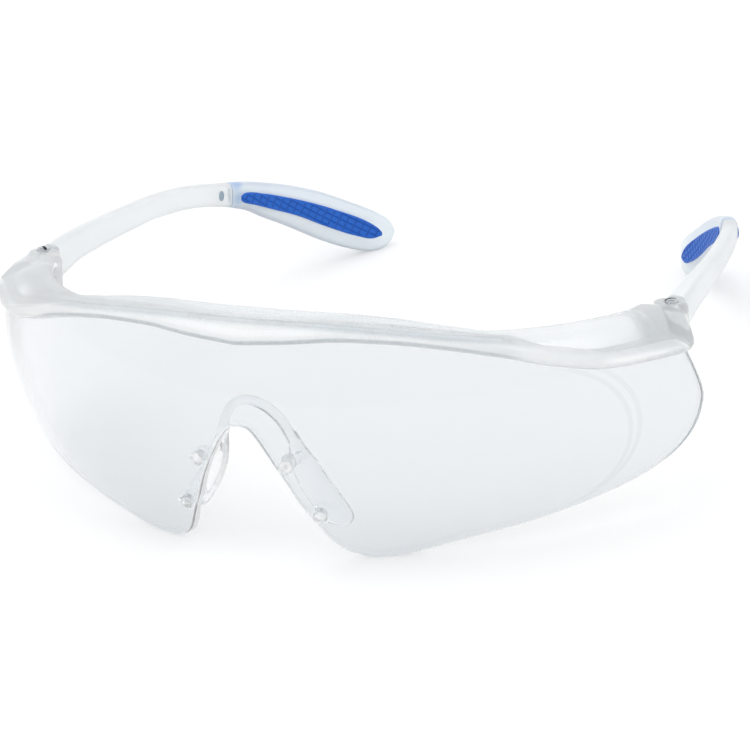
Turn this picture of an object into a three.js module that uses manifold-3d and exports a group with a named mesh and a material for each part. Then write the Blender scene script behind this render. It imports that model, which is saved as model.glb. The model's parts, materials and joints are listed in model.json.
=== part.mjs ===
// Wraparound safety glasses: one moulded clear lens, a clear brow bar, a soft nose bridge, and two folding
// temples with frosted tip sleeves and rubber grips. Millimetres, +Z up, the front faces -Y, and +X is the
// wearer's left. Everything is shaped in the level wearing position and then tipped back onto the surface
// it stands on, where it rests on the lens's two lower corners and the two temple tips.

import * as THREE from 'three';
import { mergeVertices } from 'three/addons/utils/BufferGeometryUtils.js';
import { LoftGeometry } from 'three/addons/geometries/LoftGeometry.js';
import Module from 'manifold-3d';

const wasm = await Module();
wasm.setup();

// ---- driving sizes -------------------------------------------------------------------------------------
const LENS_HALF_ARC = 92.8; // nose to rear edge of a side shield, measured along the lens
const LENS_TURN = 0.965; // how far the lens has turned at its rear edge, radians
const SIDE_FLATTENING = 0.245; // the sides run straighter than the front by this much, radians
const LENS_DROP = 30.2; // lens equator to its lowest edge
const BOWL_RADIUS = 44.6; // upright curve of the lens
const LENS_THICKNESS = 2.2;
const TEMPLE_REACH = 106; // hinge axis to temple tip, front to back
const TIP_INSET = 32.2; // how far the temple tip comes inward from its hinge
const TEMPLE_TOE_IN = 4; // the part of that inset the temple would have if it ran straight
const FIT_GAP = 0.3; // clearance between neighbouring pieces
const REST_CUT = 0.15; // depth of the small flats the glasses stand on
const LENS_TUCK = 2.3; // how far the lens runs up inside the brow bar
const BAR_WALL = 1.8; // brow bar behind the lens

const HINGE_SETBACK = 1.7; // hinge axis: this far ahead of the lens's rear edge, along the lens
const HINGE_ARC = LENS_HALF_ARC - HINGE_SETBACK;
const HINGE_INSET = 8.3; // and this far inside the lens surface
const EAR_BOTTOM = 6.3;
const EAR_TOP = 13.9;
const EAR_THICKNESS = 2.1;
const EAR_RADIUS = 3.3;
const EAR_ROUND = 1.3; // rounding of the ears' upper and lower rims
const TAB_LENGTH = 5; // the ears run this far into the bar
const KNUCKLE_RADIUS = 2.9;
const NECK_HALF_WIDTH = 1.9;
const SCREW_RADIUS = 0.75;
const SCREW_HEAD_RADIUS = 1.25;
const SCREW_HEAD_HEIGHT = 0.9;
const SCREW_SLOT_WIDTH = 0.45;
const SCREW_SLOT_TURN = 0.6; // radians

const PEG_RADIUS = 0.9;
const PEG_HEAD_RADIUS = 1.5;
const PEG_HEAD_HEIGHT = 0.9;
const POST_RADIUS = 1.15;
const STRAP_WIDTH = 2.2;
const STRAP_DEPTH = 1.7;
const PAD_HALF_WIDTH = 3.1;
const PAD_HALF_THICKNESS = 0.95;

const SLEEVE_START = 0.63; // where the frosted sleeve begins, as a share of the temple's reach
const TANG_LENGTH = 12; // flat tongue of the temple inside the sleeve
const TANG_HALF_WIDTH = 0.8;
const TANG_HALF_HEIGHT = 1.5;
const GRIP_PROUD = 0.3; // the rubber stands this far out of the sleeve's faces
const PIN_HALF_LENGTH = 0.8;
const PIN_HALF_HEIGHT = 1.1;
const PIN_PLACE = SLEEVE_START - 0.031; // share of the temple's reach
const PIN_PROUD = 0.05;

// ---- colours -------------------------------------------------------------------------------------------
const CLEAR = { color: 0xeaf1f6, roughness: 0.08, metalness: 0 };
const SATIN = { color: 0xdfe6ec, roughness: 0.35, metalness: 0 };
const FROST = { color: 0xdde6ee, roughness: 0.5, metalness: 0 };
const SOFT = { color: 0xe6edf2, roughness: 0.3, metalness: 0 };
const RUBBER = { color: 0x1f5fc4, roughness: 0.7, metalness: 0 };
const STEEL = { color: 0xb9bdc2, roughness: 0.25, metalness: 1 };

// ---- small tools ---------------------------------------------------------------------------------------

const ROUND_SEGMENTS = 12; // facets on half of a small round
const EDGE_SEGMENTS = 4; // facets on a rounded rim
const BEYOND = 5; // a cutting solid runs at least this far past what it cuts

// A smooth curve through [place, value] pairs that never overshoots them.
function through(points) {
  const slopes = points.slice(1).map((p, i) => (p[1] - points[i][1]) / (p[0] - points[i][0]));
  const tangents = points.map((p, i) => {
    if (i === 0 || i === points.length - 1 || slopes[i - 1] * slopes[i] <= 0) return 0;
    return (2 * slopes[i - 1] * slopes[i]) / (slopes[i - 1] + slopes[i]);
  });
  tangents[0] = slopes[0];
  tangents[points.length - 1] = slopes[slopes.length - 1];
  return (place) => {
    const x = THREE.MathUtils.clamp(place, points[0][0], points[points.length - 1][0]);
    let i = 0;
    while (i < points.length - 2 && x > points[i + 1][0]) i += 1;
    const width = points[i + 1][0] - points[i][0];
    const t = (x - points[i][0]) / width;
    const rise = points[i + 1][1] - points[i][1];
    const bendIn = (tangents[i] * width - rise) * t * (1 - t) * (1 - t);
    const bendOut = (rise - tangents[i + 1] * width) * t * t * (1 - t);
    return points[i][1] + rise * t + bendIn + bendOut;
  };
}

// Evenly spaced places from a to b.
function spread(a, b, count) {
  return Array.from({ length: count + 1 }, (_, i) => a + ((b - a) * i) / count);
}

// A closed three.js geometry as a solid for joining and cutting.
function solid(geometry) {
  const bare = new THREE.BufferGeometry();
  bare.setAttribute('position', geometry.attributes.position.clone());
  bare.setIndex(geometry.index ? geometry.index.clone() : null);
  const merged = mergeVertices(bare, 1e-4);
  const position = merged.attributes.position;
  const index = Array.from(merged.index.array);
  const corners = [new THREE.Vector3(), new THREE.Vector3(), new THREE.Vector3()];
  const kept = [];
  let volume = 0;
  for (let i = 0; i < index.length; i += 3) {
    const [a, b, c] = index.slice(i, i + 3);
    if (a === b || b === c || a === c) continue;
    [a, b, c].forEach((v, k) => corners[k].fromBufferAttribute(position, v));
    volume += corners[0].dot(corners[1].clone().cross(corners[2]));
    kept.push([a, b, c]);
  }
  const turned = volume < 0 ? kept.map(([a, b, c]) => [a, c, b]) : kept;
  return new wasm.Manifold(new wasm.Mesh({
    numProp: 3,
    vertProperties: new Float32Array(position.array),
    triVerts: new Uint32Array(turned.flat()),
  }));
}

// A skin through cross sections, closed at each end by drawing the last section in to its own centre.
function skin(sections) {
  const centre = (section) => {
    const point = section.reduce((sum, p) => sum.add(p), new THREE.Vector3()).divideScalar(section.length);
    return section.map(() => point);
  };
  const closed = [centre(sections[0]), ...sections, centre(sections[sections.length - 1])];
  return solid(new LoftGeometry(closed));
}

// A finished solid as a named mesh in its own material.
function piece(name, body, look) {
  const mesh = body.getMesh();
  const geometry = new THREE.BufferGeometry();
  geometry.setAttribute('position', new THREE.BufferAttribute(new Float32Array(mesh.vertProperties), 3));
  geometry.setIndex(new THREE.BufferAttribute(new Uint32Array(mesh.triVerts), 1));
  geometry.computeVertexNormals();
  const made = new THREE.Mesh(geometry, new THREE.MeshStandardMaterial(look));
  made.name = name;
  return made;
}

// An upright prism on a plan outline.
function prism(shape, low, high) {
  const settings = { depth: high - low, bevelEnabled: false, curveSegments: ROUND_SEGMENTS };
  const geometry = new THREE.ExtrudeGeometry(shape, settings);
  geometry.translate(0, 0, low);
  return solid(geometry);
}

function disc(x, y, radius) {
  const shape = new THREE.Shape();
  shape.absarc(x, y, radius, 0, Math.PI * 2, false);
  return shape;
}

function outline(points) {
  return new THREE.Shape(points.map(([x, y]) => new THREE.Vector2(x, y)));
}

// The other hand of a solid, mirrored through the middle plane.
function mirrored(body) {
  const mesh = body.getMesh();
  const vertProperties = Float32Array.from(mesh.vertProperties, (v, i) => (i % 3 === 0 ? -v : v));
  const triVerts = new Uint32Array(mesh.triVerts.length);
  for (let i = 0; i < triVerts.length; i += 3) {
    triVerts[i] = mesh.triVerts[i];
    triVerts[i + 1] = mesh.triVerts[i + 2];
    triVerts[i + 2] = mesh.triVerts[i + 1];
  }
  return new wasm.Manifold(new wasm.Mesh({ numProp: 3, vertProperties, triVerts }));
}

// ---- the front curve -----------------------------------------------------------------------------------

function turnAt(arc) {
  const u = arc / LENS_HALF_ARC;
  return (LENS_TURN + SIDE_FLATTENING) * u - SIDE_FLATTENING * u ** 5;
}

// Plan position after walking an arc length from the nose along the lens.
function planAt(arc) {
  const steps = 120;
  const step = arc / steps;
  let x = 0;
  let y = 0;
  for (let i = 0; i < steps; i += 1) {
    const turn = turnAt((i + 0.5) * step);
    x += Math.cos(turn) * step;
    y += Math.sin(turn) * step;
  }
  return [x, y];
}

// A point given by its arc from the nose, its distance out of the lens's front face, and its height.
function front(arc, out, z) {
  const [x, y] = planAt(arc);
  const turn = turnAt(arc);
  const along = out - (z * z) / (2 * BOWL_RADIUS);
  return new THREE.Vector3(x + Math.sin(turn) * along, y - Math.cos(turn) * along, z);
}

const hinge = front(HINGE_ARC, -HINGE_INSET, 0);

// ---- lens ----------------------------------------------------------------------------------------------

// Lower edge, as shares of the half arc and of the drop: nose cut, lowest corner, long sweep up, rear lobe.
const lowerEdge = through([
  [0, -0.103], [0.018, -0.113], [0.038, -0.175], [0.066, -0.315], [0.093, -0.46], [0.117, -0.606],
  [0.144, -0.735], [0.172, -0.861], [0.194, -0.927], [0.226, -0.977], [0.275, -1], [0.323, -0.987],
  [0.463, -0.887], [0.639, -0.775], [0.773, -0.669], [0.865, -0.576], [0.93, -0.47], [0.973, -0.348],
  [0.9935, -0.225], [1, -0.132],
]);

// Lower edge of the brow bar's front lip, millimetres above the lens equator.
const barLow = through([
  [0, 12.2], [0.11, 12.9], [0.215, 13.6], [0.32, 13.2], [0.43, 11.9], [0.54, 9.9], [0.65, 7.4], [0.76, 5.9],
  [0.86, 6.1], [0.95, EAR_BOTTOM], [1.1, EAR_BOTTOM],
]);

const LOBE_START = 0.93;
const lobeTop = through([
  [LOBE_START, 8.3], [0.956, 7], [0.972, 4.2], [0.989, 0.8], [0.997, -1.2], [1, -2.2],
]);

function upperEdge(u) {
  return u < LOBE_START ? barLow(u) + LENS_TUCK : lobeTop(u);
}

function lensBlank(clearance) {
  const half = [
    ...spread(0, 0.04, 3), ...spread(0.055, 0.24, 10), ...spread(0.275, 0.9, 12), 0.925, 0.945, 0.958, 0.968,
    0.978, 0.987, 0.993, 0.998, 1,
  ];
  const stations = [...half.slice(1).reverse().map((u) => -u), ...half];
  const rows = 5;
  const sections = stations.map((u) => {
    const low = lowerEdge(Math.abs(u)) * LENS_DROP;
    const high = upperEdge(Math.abs(u)) + clearance;
    const heights = spread(low, high, rows);
    const outer = heights.map((z) => front(u * LENS_HALF_ARC, clearance, z));
    const inner = heights.map((z) => front(u * LENS_HALF_ARC, -LENS_THICKNESS - clearance, z)).reverse();
    return [...outer, ...inner];
  });
  return skin(sections);
}

// ---- brow bar ------------------------------------------------------------------------------------------

const VISOR_END = 0.47; // the forehead shelf fades out between these two places
const BAR_START = 0.6;
const frontTop = through([
  [0, 17.2], [0.13, 17.1], [0.24, 16.6], [0.34, 15.8], [0.44, 14.8], [0.54, 14], [1, 14],
]);
const shelfTop = through([[0, 17.9], [0.2, 17.6], [0.34, 16.6], [0.44, 15.3], [0.54, 14.2], [1, 14]]);
const shelfReach = through([[0, 6.2], [0.3, 6.1], [0.42, 5.4], [0.54, 4.9], [1, 4.9]]);
const barTop = through([[0.4, 14.4], [0.54, 14.1], [0.7, 14], [0.88, 14], [1.1, EAR_TOP]]);
const earOuter = EAR_RADIUS - HINGE_INSET - FIT_GAP; // the bar's end narrows to the width of the hinge ears
const earInner = -EAR_RADIUS - HINGE_INSET - FIT_GAP;
const barOuter = through([
  [0.4, 2.1], [0.76, 2.2], [0.92, 2], [0.965, 0.8], [1, earOuter + 2], [1.03, earOuter], [1.1, earOuter],
]);
const barInner = through([
  [0.4, -4.7], [0.6, -4.8], [0.76, -5.2], [0.86, -6.6], [0.93, -9.4], [0.98, earInner], [1.1, earInner],
]);
const barLean = through([[0.45, 0], [0.7, 1.3], [0.85, 2.3], [0.94, 2.7], [0.98, 1.8], [1.03, 0], [1.1, 0]]);
const BAR_POINTS = 16;

function visorSection(u) {
  const low = barLow(u);
  const top = frontTop(u);
  const rear = shelfTop(u);
  const reach = shelfReach(u);
  const back = -LENS_THICKNESS - BAR_WALL;
  return [
    [0.9, low], [1.7, low + 0.4], [2.1, low + 1.1], [2.1, top - 1.2], [1.7, top - 0.35], [0.8, top],
    [-1.6, (top + rear) / 2 - 0.1], [1.7 - reach, rear], [0.6 - reach, rear - 0.2], [-reach, rear - 0.9],
    [0.5 - reach, rear - 1.6], [1.5 - reach, rear - 2], [back - 0.1, top - 2.6], [back, low + 1],
    [back + 0.4, low + 0.3], [-LENS_THICKNESS - 0.5, low],
  ];
}

function barSection(u, shrink) {
  const centre = (barOuter(u) + barInner(u)) / 2;
  const halfWidth = ((barOuter(u) - barInner(u)) / 2) * shrink;
  const middle = (barTop(u) + barLow(u)) / 2;
  const halfHeight = ((barTop(u) - barLow(u)) / 2) * (0.8 + 0.2 * shrink);
  const squareness = 0.72;
  return Array.from({ length: BAR_POINTS }, (_, i) => {
    const angle = THREE.MathUtils.degToRad(-68 + (360 / BAR_POINTS) * i);
    const across = Math.sign(Math.cos(angle)) * Math.abs(Math.cos(angle)) ** squareness;
    const up = Math.sign(Math.sin(angle)) * Math.abs(Math.sin(angle)) ** squareness;
    return [centre + halfWidth * across - barLean(u) * up, middle + halfHeight * up];
  });
}

function browBlank() {
  const endStart = HINGE_ARC / LENS_HALF_ARC;
  const roundEnd = [0.35, 0.7, 1, 1.25].map((a) => ({
    u: endStart + (Math.sin(a) * EAR_RADIUS) / LENS_HALF_ARC,
    shrink: Math.cos(a),
  }));
  const places = [...spread(0, VISOR_END, 10), ...spread(0.5, 0.96, 12), endStart];
  const half = places.map((u) => ({ u, shrink: 1 }));
  half.push(...roundEnd);
  const left = half.slice(1).reverse().map(({ u, shrink }) => ({ u, shrink, side: -1 }));
  const right = half.map(({ u, shrink }) => ({ u, shrink, side: 1 }));
  const sections = [...left, ...right].map(({ u, shrink, side }) => {
    const blend = THREE.MathUtils.smoothstep(u, VISOR_END, BAR_START);
    const visor = visorSection(u);
    const bar = barSection(u, shrink);
    return visor.map(([out, z], i) => {
      const o = out + (bar[i][0] - out) * blend;
      const h = z + (bar[i][1] - z) * blend;
      return front(side * u * LENS_HALF_ARC, o, h);
    });
  });
  return skin(sections);
}

// The tab at the end of the bar, before the slot that parts it into two ears: round about the hinge axis at
// the rear, with softened rims, and buried in the bar at the front.
function hingeTab() {
  const lead = front(HINGE_ARC - TAB_LENGTH, -HINGE_INSET, 0);
  const heading = Math.atan2(hinge.y - lead.y, hinge.x - lead.x);
  const rim = (middle, way) => spread(0, Math.PI / 2, EDGE_SEGMENTS).map((a) => ({
    radius: EAR_RADIUS - EAR_ROUND * (1 - Math.cos(a)),
    z: middle + way * EAR_ROUND * Math.sin(a),
  }));
  const profile = [...rim(EAR_BOTTOM + EAR_ROUND, -1).reverse(), ...rim(EAR_TOP - EAR_ROUND, 1)];
  return skin(profile.map(({ radius, z }) => [hinge, lead].flatMap((centre, end) => (
    spread(-Math.PI / 2, Math.PI / 2, ROUND_SEGMENTS).map((a) => new THREE.Vector3(
      centre.x + radius * Math.cos(heading + a + end * Math.PI),
      centre.y + radius * Math.sin(heading + a + end * Math.PI),
      z,
    ))
  ))));
}

// Room for the temple to swing from fully open to folded: the knuckle and neck between the ears, and
// everything behind and inside the ears' round ends.
function hingeRoom() {
  const { x, y } = hinge;
  const room = NECK_HALF_WIDTH + 2 * FIT_GAP;
  const far = 3 * EAR_RADIUS;
  const low = EAR_BOTTOM + EAR_THICKNESS;
  const high = EAR_TOP - EAR_THICKNESS;
  const neckSwing = outline([
    [x + room, y], [x + room, y + far], [x - far, y + far], [x - far, y - room], [x, y - room],
  ]);
  const armSwing = outline([
    [x + far, y], [x + far, y + far], [x - far, y + far], [x - far, y - room], [x, y - room], [x, y],
  ]);
  const slot = prism(neckSwing, low, high).add(prism(disc(x, y, KNUCKLE_RADIUS + FIT_GAP), low, high));
  const ears = prism(disc(x, y, EAR_RADIUS), EAR_BOTTOM - BEYOND, EAR_TOP + BEYOND);
  return prism(armSwing, EAR_BOTTOM - BEYOND, EAR_TOP + BEYOND).subtract(ears).add(slot);
}

function screwHole() {
  const { x, y } = hinge;
  const top = EAR_TOP + BEYOND;
  const bore = prism(disc(x, y, SCREW_RADIUS + FIT_GAP), EAR_BOTTOM - BEYOND, top);
  return bore.add(prism(disc(x, y, SCREW_HEAD_RADIUS + FIT_GAP), EAR_TOP - SCREW_HEAD_HEIGHT / 2, top));
}

// ---- hinge screw ---------------------------------------------------------------------------------------

function hingeScrew() {
  const seat = EAR_TOP - SCREW_HEAD_HEIGHT / 2 + FIT_GAP;
  const top = seat + SCREW_HEAD_HEIGHT;
  const end = EAR_BOTTOM + FIT_GAP;
  const profile = [
    [0, end], [SCREW_RADIUS - 0.3, end], [SCREW_RADIUS, end + 0.4], [SCREW_RADIUS, seat],
    [SCREW_HEAD_RADIUS, seat], [SCREW_HEAD_RADIUS, seat + 0.5 * SCREW_HEAD_HEIGHT],
    [0.7 * SCREW_HEAD_RADIUS, top - 0.1], [0, top],
  ].map(([r, z]) => new THREE.Vector2(r, z));
  const turned = new THREE.LatheGeometry(profile, 24);
  turned.rotateX(Math.PI / 2);
  turned.translate(hinge.x, hinge.y, 0);
  const slot = new THREE.BoxGeometry(4 * SCREW_HEAD_RADIUS, SCREW_SLOT_WIDTH, SCREW_HEAD_HEIGHT);
  slot.rotateZ(SCREW_SLOT_TURN);
  slot.translate(hinge.x, hinge.y, top);
  return solid(turned).subtract(solid(slot));
}

// ---- temple, sleeve, grip and pin ----------------------------------------------------------------------

// Heights of the temple's upper and lower lines against the share of its reach.
const templeTop = through([
  [0.015, 14.1], [0.06, 14.6], [0.115, 15.2], [0.266, 16], [0.342, 16.3], [0.41, 16.5], [0.474, 16.4],
  [0.53, 16], [0.593, 15.1], [0.675, 14], [0.751, 12.2], [0.842, 9], [0.926, 4.5], [0.965, 1.9],
  [0.985, 0], [1, -2.4],
]);
const templeLow = through([
  [0.015, 6.4], [0.04, 7.1], [0.074, 8.1], [0.112, 9], [0.189, 9.8], [0.335, 10.9], [0.405, 11.4],
  [0.471, 11.4], [0.53, 11], [0.59, 10.1], [0.674, 7.6], [0.723, 4.9], [0.773, 2.2], [0.862, -3.2],
  [0.903, -5.3], [0.944, -6.8], [0.966, -7], [0.985, -6.1], [1, -3.6],
]);
const armHalfWidth = through([[0.015, 2.4], [0.12, 2.1], [0.3, 1.6], [0.64, 1.6]]);
const sleeveHalfWidth = through([[0.6, 1.75], [0.7, 2], [0.82, 2.3], [0.94, 2.1], [0.985, 1.5], [1, 0.8]]);
const GRIP_START = 0.652;
const GRIP_END = 0.972;
const gripTop = through([
  [GRIP_START, 11.5], [0.663, 12], [0.715, 10.8], [0.757, 9.4], [0.812, 7.3], [0.856, 5.3], [0.887, 3.7],
  [0.918, 2], [0.945, 0.2], [0.964, -1.5], [GRIP_END, -2.6],
]);
const gripLow = through([
  [GRIP_START, 10.4], [0.66, 9.8], [0.69, 8.7], [0.721, 7.4], [0.789, 4.5], [0.855, 0.8], [0.918, -2.5],
  [0.955, -3.8], [GRIP_END, -3.5],
]);

// Plan position and outward direction of the temple's middle line.
function templeLine(t) {
  const inward = (TIP_INSET - TEMPLE_TOE_IN) * t ** 3 + TEMPLE_TOE_IN * t;
  const slope = (3 * (TIP_INSET - TEMPLE_TOE_IN) * t * t + TEMPLE_TOE_IN) / TEMPLE_REACH;
  const length = Math.hypot(1, slope);
  return {
    middle: new THREE.Vector3(hinge.x - inward, hinge.y + t * TEMPLE_REACH, 0),
    outward: new THREE.Vector3(1 / length, slope / length, 0),
  };
}

function templeSection(t, halfWidth, low, high, squareness, count) {
  const { middle, outward } = templeLine(t);
  const centre = (low + high) / 2;
  const halfHeight = (high - low) / 2;
  return Array.from({ length: count }, (_, i) => {
    const angle = (Math.PI * 2 * (i + 0.5)) / count;
    const across = Math.sign(Math.cos(angle)) * Math.abs(Math.cos(angle)) ** squareness;
    const up = Math.sign(Math.sin(angle)) * Math.abs(Math.sin(angle)) ** squareness;
    return middle.clone().addScaledVector(outward, halfWidth * across).setZ(centre + halfHeight * up);
  });
}

function tang(clearance) {
  const start = SLEEVE_START - 0.02;
  const end = SLEEVE_START + (TANG_LENGTH + clearance) / TEMPLE_REACH;
  return skin(spread(start, end, 6).map((t) => {
    const centre = (templeTop(t) + templeLow(t)) / 2;
    const tall = TANG_HALF_HEIGHT + clearance;
    return templeSection(t, TANG_HALF_WIDTH + clearance, centre - tall, centre + tall, 0.4, 8);
  }));
}

const NECK_LENGTH = EAR_RADIUS + 2.6; // hinge axis to well inside the arm

// The arm starts as a hollow round that hugs the ears, and its neck carries the knuckle between them.
function templeArm() {
  const start = (0.6 * EAR_RADIUS) / TEMPLE_REACH;
  const end = SLEEVE_START - FIT_GAP / TEMPLE_REACH;
  const stations = [...spread(start, 0.12, 5), ...spread(0.15, end, 16)];
  const arm = skin(stations.map((t) => (
    templeSection(t, armHalfWidth(t), templeLow(t), templeTop(t), 0.6, 12)
  )));
  const low = EAR_BOTTOM + EAR_THICKNESS + FIT_GAP;
  const high = EAR_TOP - EAR_THICKNESS - FIT_GAP;
  const { x, y } = hinge;
  const neckEnd = y + NECK_LENGTH;
  const ears = prism(disc(x, y, EAR_RADIUS + FIT_GAP), EAR_BOTTOM - BEYOND, EAR_TOP + BEYOND);
  const neck = outline([
    [x - NECK_HALF_WIDTH, y], [x + NECK_HALF_WIDTH, y], [x + NECK_HALF_WIDTH - 0.3, neckEnd],
    [x - NECK_HALF_WIDTH - 0.1, neckEnd],
  ]);
  const knuckle = prism(disc(x, y, KNUCKLE_RADIUS), low, high).add(prism(neck, low, high));
  return arm.subtract(ears).add(knuckle).add(tang(0)).subtract(screwHole()).subtract(pin(FIT_GAP));
}

function gripBlank(clearance) {
  const ends = clearance / TEMPLE_REACH;
  return skin(spread(GRIP_START - ends, GRIP_END + ends, 14).map((t) => {
    const width = sleeveHalfWidth(t) + (clearance > 0 ? BEYOND : GRIP_PROUD);
    return templeSection(t, width, gripLow(t) - clearance, gripTop(t) + clearance, 0.3, 12);
  }));
}

function tipSleeve() {
  const stations = [...spread(SLEEVE_START, 0.94, 16), 0.955, 0.968, 0.978, 0.986, 0.992, 0.997, 1];
  const blank = skin(stations.map((t) => (
    templeSection(t, sleeveHalfWidth(t), templeLow(t), templeTop(t), 0.65, 14)
  )));
  return blank.subtract(gripBlank(FIT_GAP)).subtract(tang(FIT_GAP));
}

// The small oval rubber pin through the arm just ahead of the sleeve.
function pin(clearance) {
  const t = PIN_PLACE;
  const { middle, outward } = templeLine(t);
  const shape = new THREE.Shape();
  shape.absellipse(0, 0, PIN_HALF_LENGTH + clearance, PIN_HALF_HEIGHT + clearance, 0, Math.PI * 2, false);
  const depth = 2 * (armHalfWidth(t) + (clearance > 0 ? BEYOND : PIN_PROUD));
  const geometry = new THREE.ExtrudeGeometry(shape, { depth, bevelEnabled: false, curveSegments: 10 });
  geometry.translate(0, 0, -depth / 2);
  geometry.rotateX(Math.PI / 2);
  geometry.rotateZ(Math.atan2(outward.y, outward.x) + Math.PI / 2);
  geometry.translate(middle.x, middle.y, (templeTop(t) + templeLow(t)) / 2);
  return solid(geometry);
}

// ---- nose bridge ---------------------------------------------------------------------------------------

// A point of the nose piece: its share of the lens's half arc, how far it is behind the lens's front face,
// and its share of the lens's drop.
function behindLens(arcShare, behind, dropShare) {
  return front(arcShare * LENS_HALF_ARC, -behind, -dropShare * LENS_DROP);
}

// Where each peg goes through the lens, and where its post meets the pad.
const pegs = [
  { arc: 0.0991 * LENS_HALF_ARC, z: -0.341 * LENS_DROP, root: behindLens(0.1078, 8.6, 0.344) },
  { arc: 0.1595 * LENS_HALF_ARC, z: -0.682 * LENS_DROP, root: behindLens(0.1639, 6.2, 0.662) },
];

// A turned solid whose axis runs from a point along a direction.
function turnedAlong(profile, from, along) {
  const turned = new THREE.LatheGeometry(profile.map(([r, d]) => new THREE.Vector2(r, d)), 12);
  turned.applyQuaternion(new THREE.Quaternion().setFromUnitVectors(new THREE.Vector3(0, 1, 0), along));
  turned.translate(from.x, from.y, from.z);
  return solid(turned);
}

// Straight through the lens at a peg: a point on its front face and the direction inward.
function throughLens({ arc, z }) {
  const turn = turnAt(arc);
  const inward = new THREE.Vector3(-Math.sin(turn), Math.cos(turn), -z / BOWL_RADIUS).normalize();
  return { face: front(arc, 0, z), inward };
}

function pegHole(place) {
  const { face, inward } = throughLens(place);
  const radius = PEG_RADIUS + FIT_GAP;
  const end = LENS_THICKNESS + BEYOND;
  return turnedAlong([[0, -BEYOND], [radius, -BEYOND], [radius, end], [0, end]], face, inward);
}

// A peg snapped through the lens, with its head in front and its post running back to the pad.
function peg(place) {
  const { face, inward } = throughLens(place);
  const head = -FIT_GAP - PEG_HEAD_HEIGHT;
  const back = LENS_THICKNESS + FIT_GAP;
  const stud = turnedAlong([
    [0, head], [0.7 * PEG_HEAD_RADIUS, head + 0.1], [PEG_HEAD_RADIUS, head + 0.5],
    [PEG_HEAD_RADIUS, -FIT_GAP], [PEG_RADIUS, -FIT_GAP], [PEG_RADIUS, back], [PEG_HEAD_RADIUS, back],
    [PEG_HEAD_RADIUS, back + 1], [0, back + 1],
  ], face, inward);
  const from = face.clone().addScaledVector(inward, back + 0.5);
  const along = place.root.clone().sub(from).normalize();
  const length = place.root.distanceTo(from);
  return stud.add(turnedAlong([[0, 0], [POST_RADIUS, 0], [POST_RADIUS, length], [0, length]], from, along));
}

function nosePad() {
  const line = new THREE.CatmullRomCurve3([
    behindLens(0.0857, 8.7, 0.185), behindLens(0.1017, 8.8, 0.331), behindLens(0.133, 7.9, 0.513),
    behindLens(0.1796, 5.9, 0.695), behindLens(0.2028, 4.7, 0.775),
  ]);
  const width = through([[0, 0.4], [0.12, 0.66], [0.4, 0.95], [0.7, 1], [0.88, 0.78], [1, 0.3]]);
  const wide = new THREE.Vector3(0.9, 0.38, 0.2).normalize();
  return skin(spread(0, 1, 12).map((t) => {
    const middle = line.getPoint(t);
    const thick = wide.clone().cross(line.getTangent(t)).normalize();
    return Array.from({ length: 12 }, (_, i) => {
      const angle = (Math.PI * 2 * i) / 12;
      return middle.clone()
        .addScaledVector(wide, Math.cos(angle) * PAD_HALF_WIDTH * width(t))
        .addScaledVector(thick, Math.sin(angle) * PAD_HALF_THICKNESS * (0.6 + 0.4 * width(t)));
    });
  }));
}

function noseStrap() {
  const half = [[0.0911, 8.7, 0.258], [0.0686, 7.8, 0.113], [0.0377, 6.5, 0.013]];
  const points = [
    ...half.map(([arc, behind, drop]) => behindLens(-arc, behind, drop)), behindLens(0, 6, -0.023),
    ...half.reverse().map(([arc, behind, drop]) => behindLens(arc, behind, drop)),
  ];
  const w = STRAP_WIDTH / 2;
  const d = STRAP_DEPTH / 2;
  const shape = outline([
    [-w, -d / 2], [-w / 2, -d], [w / 2, -d], [w, -d / 2], [w, d / 2], [w / 2, d], [-w / 2, d], [-w, d / 2],
  ]);
  const extrudePath = new THREE.CatmullRomCurve3(points);
  return solid(new THREE.ExtrudeGeometry(shape, { steps: 20, bevelEnabled: false, extrudePath }));
}

function noseBridge() {
  const side = pegs.reduce((body, p) => body.add(peg(p)), nosePad());
  return noseStrap().add(side).add(mirrored(side));
}

// ---- put together --------------------------------------------------------------------------------------

function both(body) {
  return body.add(mirrored(body));
}

const pegHoles = both(pegs.map(pegHole).reduce((body, hole) => body.add(hole)));
const lensBody = lensBlank(0).subtract(pegHoles);
const browCuts = lensBlank(FIT_GAP).add(both(hingeRoom())).add(both(screwHole()));
const browBody = browBlank().add(both(hingeTab())).subtract(browCuts);
const armBody = templeArm();
const sleeveBody = tipSleeve();
const gripBody = gripBlank(0).subtract(tang(FIT_GAP));
const pinBody = pin(0);
const screwBody = hingeScrew();

// Least and greatest height and depth a solid reaches once tipped back by an angle.
function reach(body, pitch) {
  const v = body.getMesh().vertProperties;
  const heights = [];
  const depths = [];
  for (let i = 0; i < v.length; i += 3) {
    heights.push(v[i + 2] * Math.cos(pitch) - v[i + 1] * Math.sin(pitch));
    depths.push(v[i + 1] * Math.cos(pitch) + v[i + 2] * Math.sin(pitch));
  }
  return { low: Math.min(...heights), near: Math.min(...depths), far: Math.max(...depths) };
}

// The tilt at which the lens and the temple tips touch the same surface.
function restPitch() {
  let low = 0;
  let high = 0.5;
  for (let i = 0; i < 40; i += 1) {
    const middle = (low + high) / 2;
    if (reach(sleeveBody, middle).low > reach(lensBody, middle).low) low = middle;
    else high = middle;
  }
  return (low + high) / 2;
}

const noseBody = noseBridge();
const pitch = restPitch();
const nearest = Math.min(...[lensBody, browBody, noseBody].map((body) => reach(body, pitch).near));
const glasses = new THREE.Group();
glasses.rotation.x = -pitch;
glasses.position.z = -reach(lensBody, pitch).low - REST_CUT;
glasses.position.y = -(nearest + reach(sleeveBody, pitch).far) / 2;
glasses.updateMatrixWorld(true);

const floorSize = 4 * TEMPLE_REACH;
const ground = new THREE.BoxGeometry(floorSize, floorSize, BEYOND);
ground.translate(0, 0, -BEYOND / 2);
ground.applyMatrix4(glasses.matrixWorld.clone().invert());
const groundBody = solid(ground);

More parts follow.
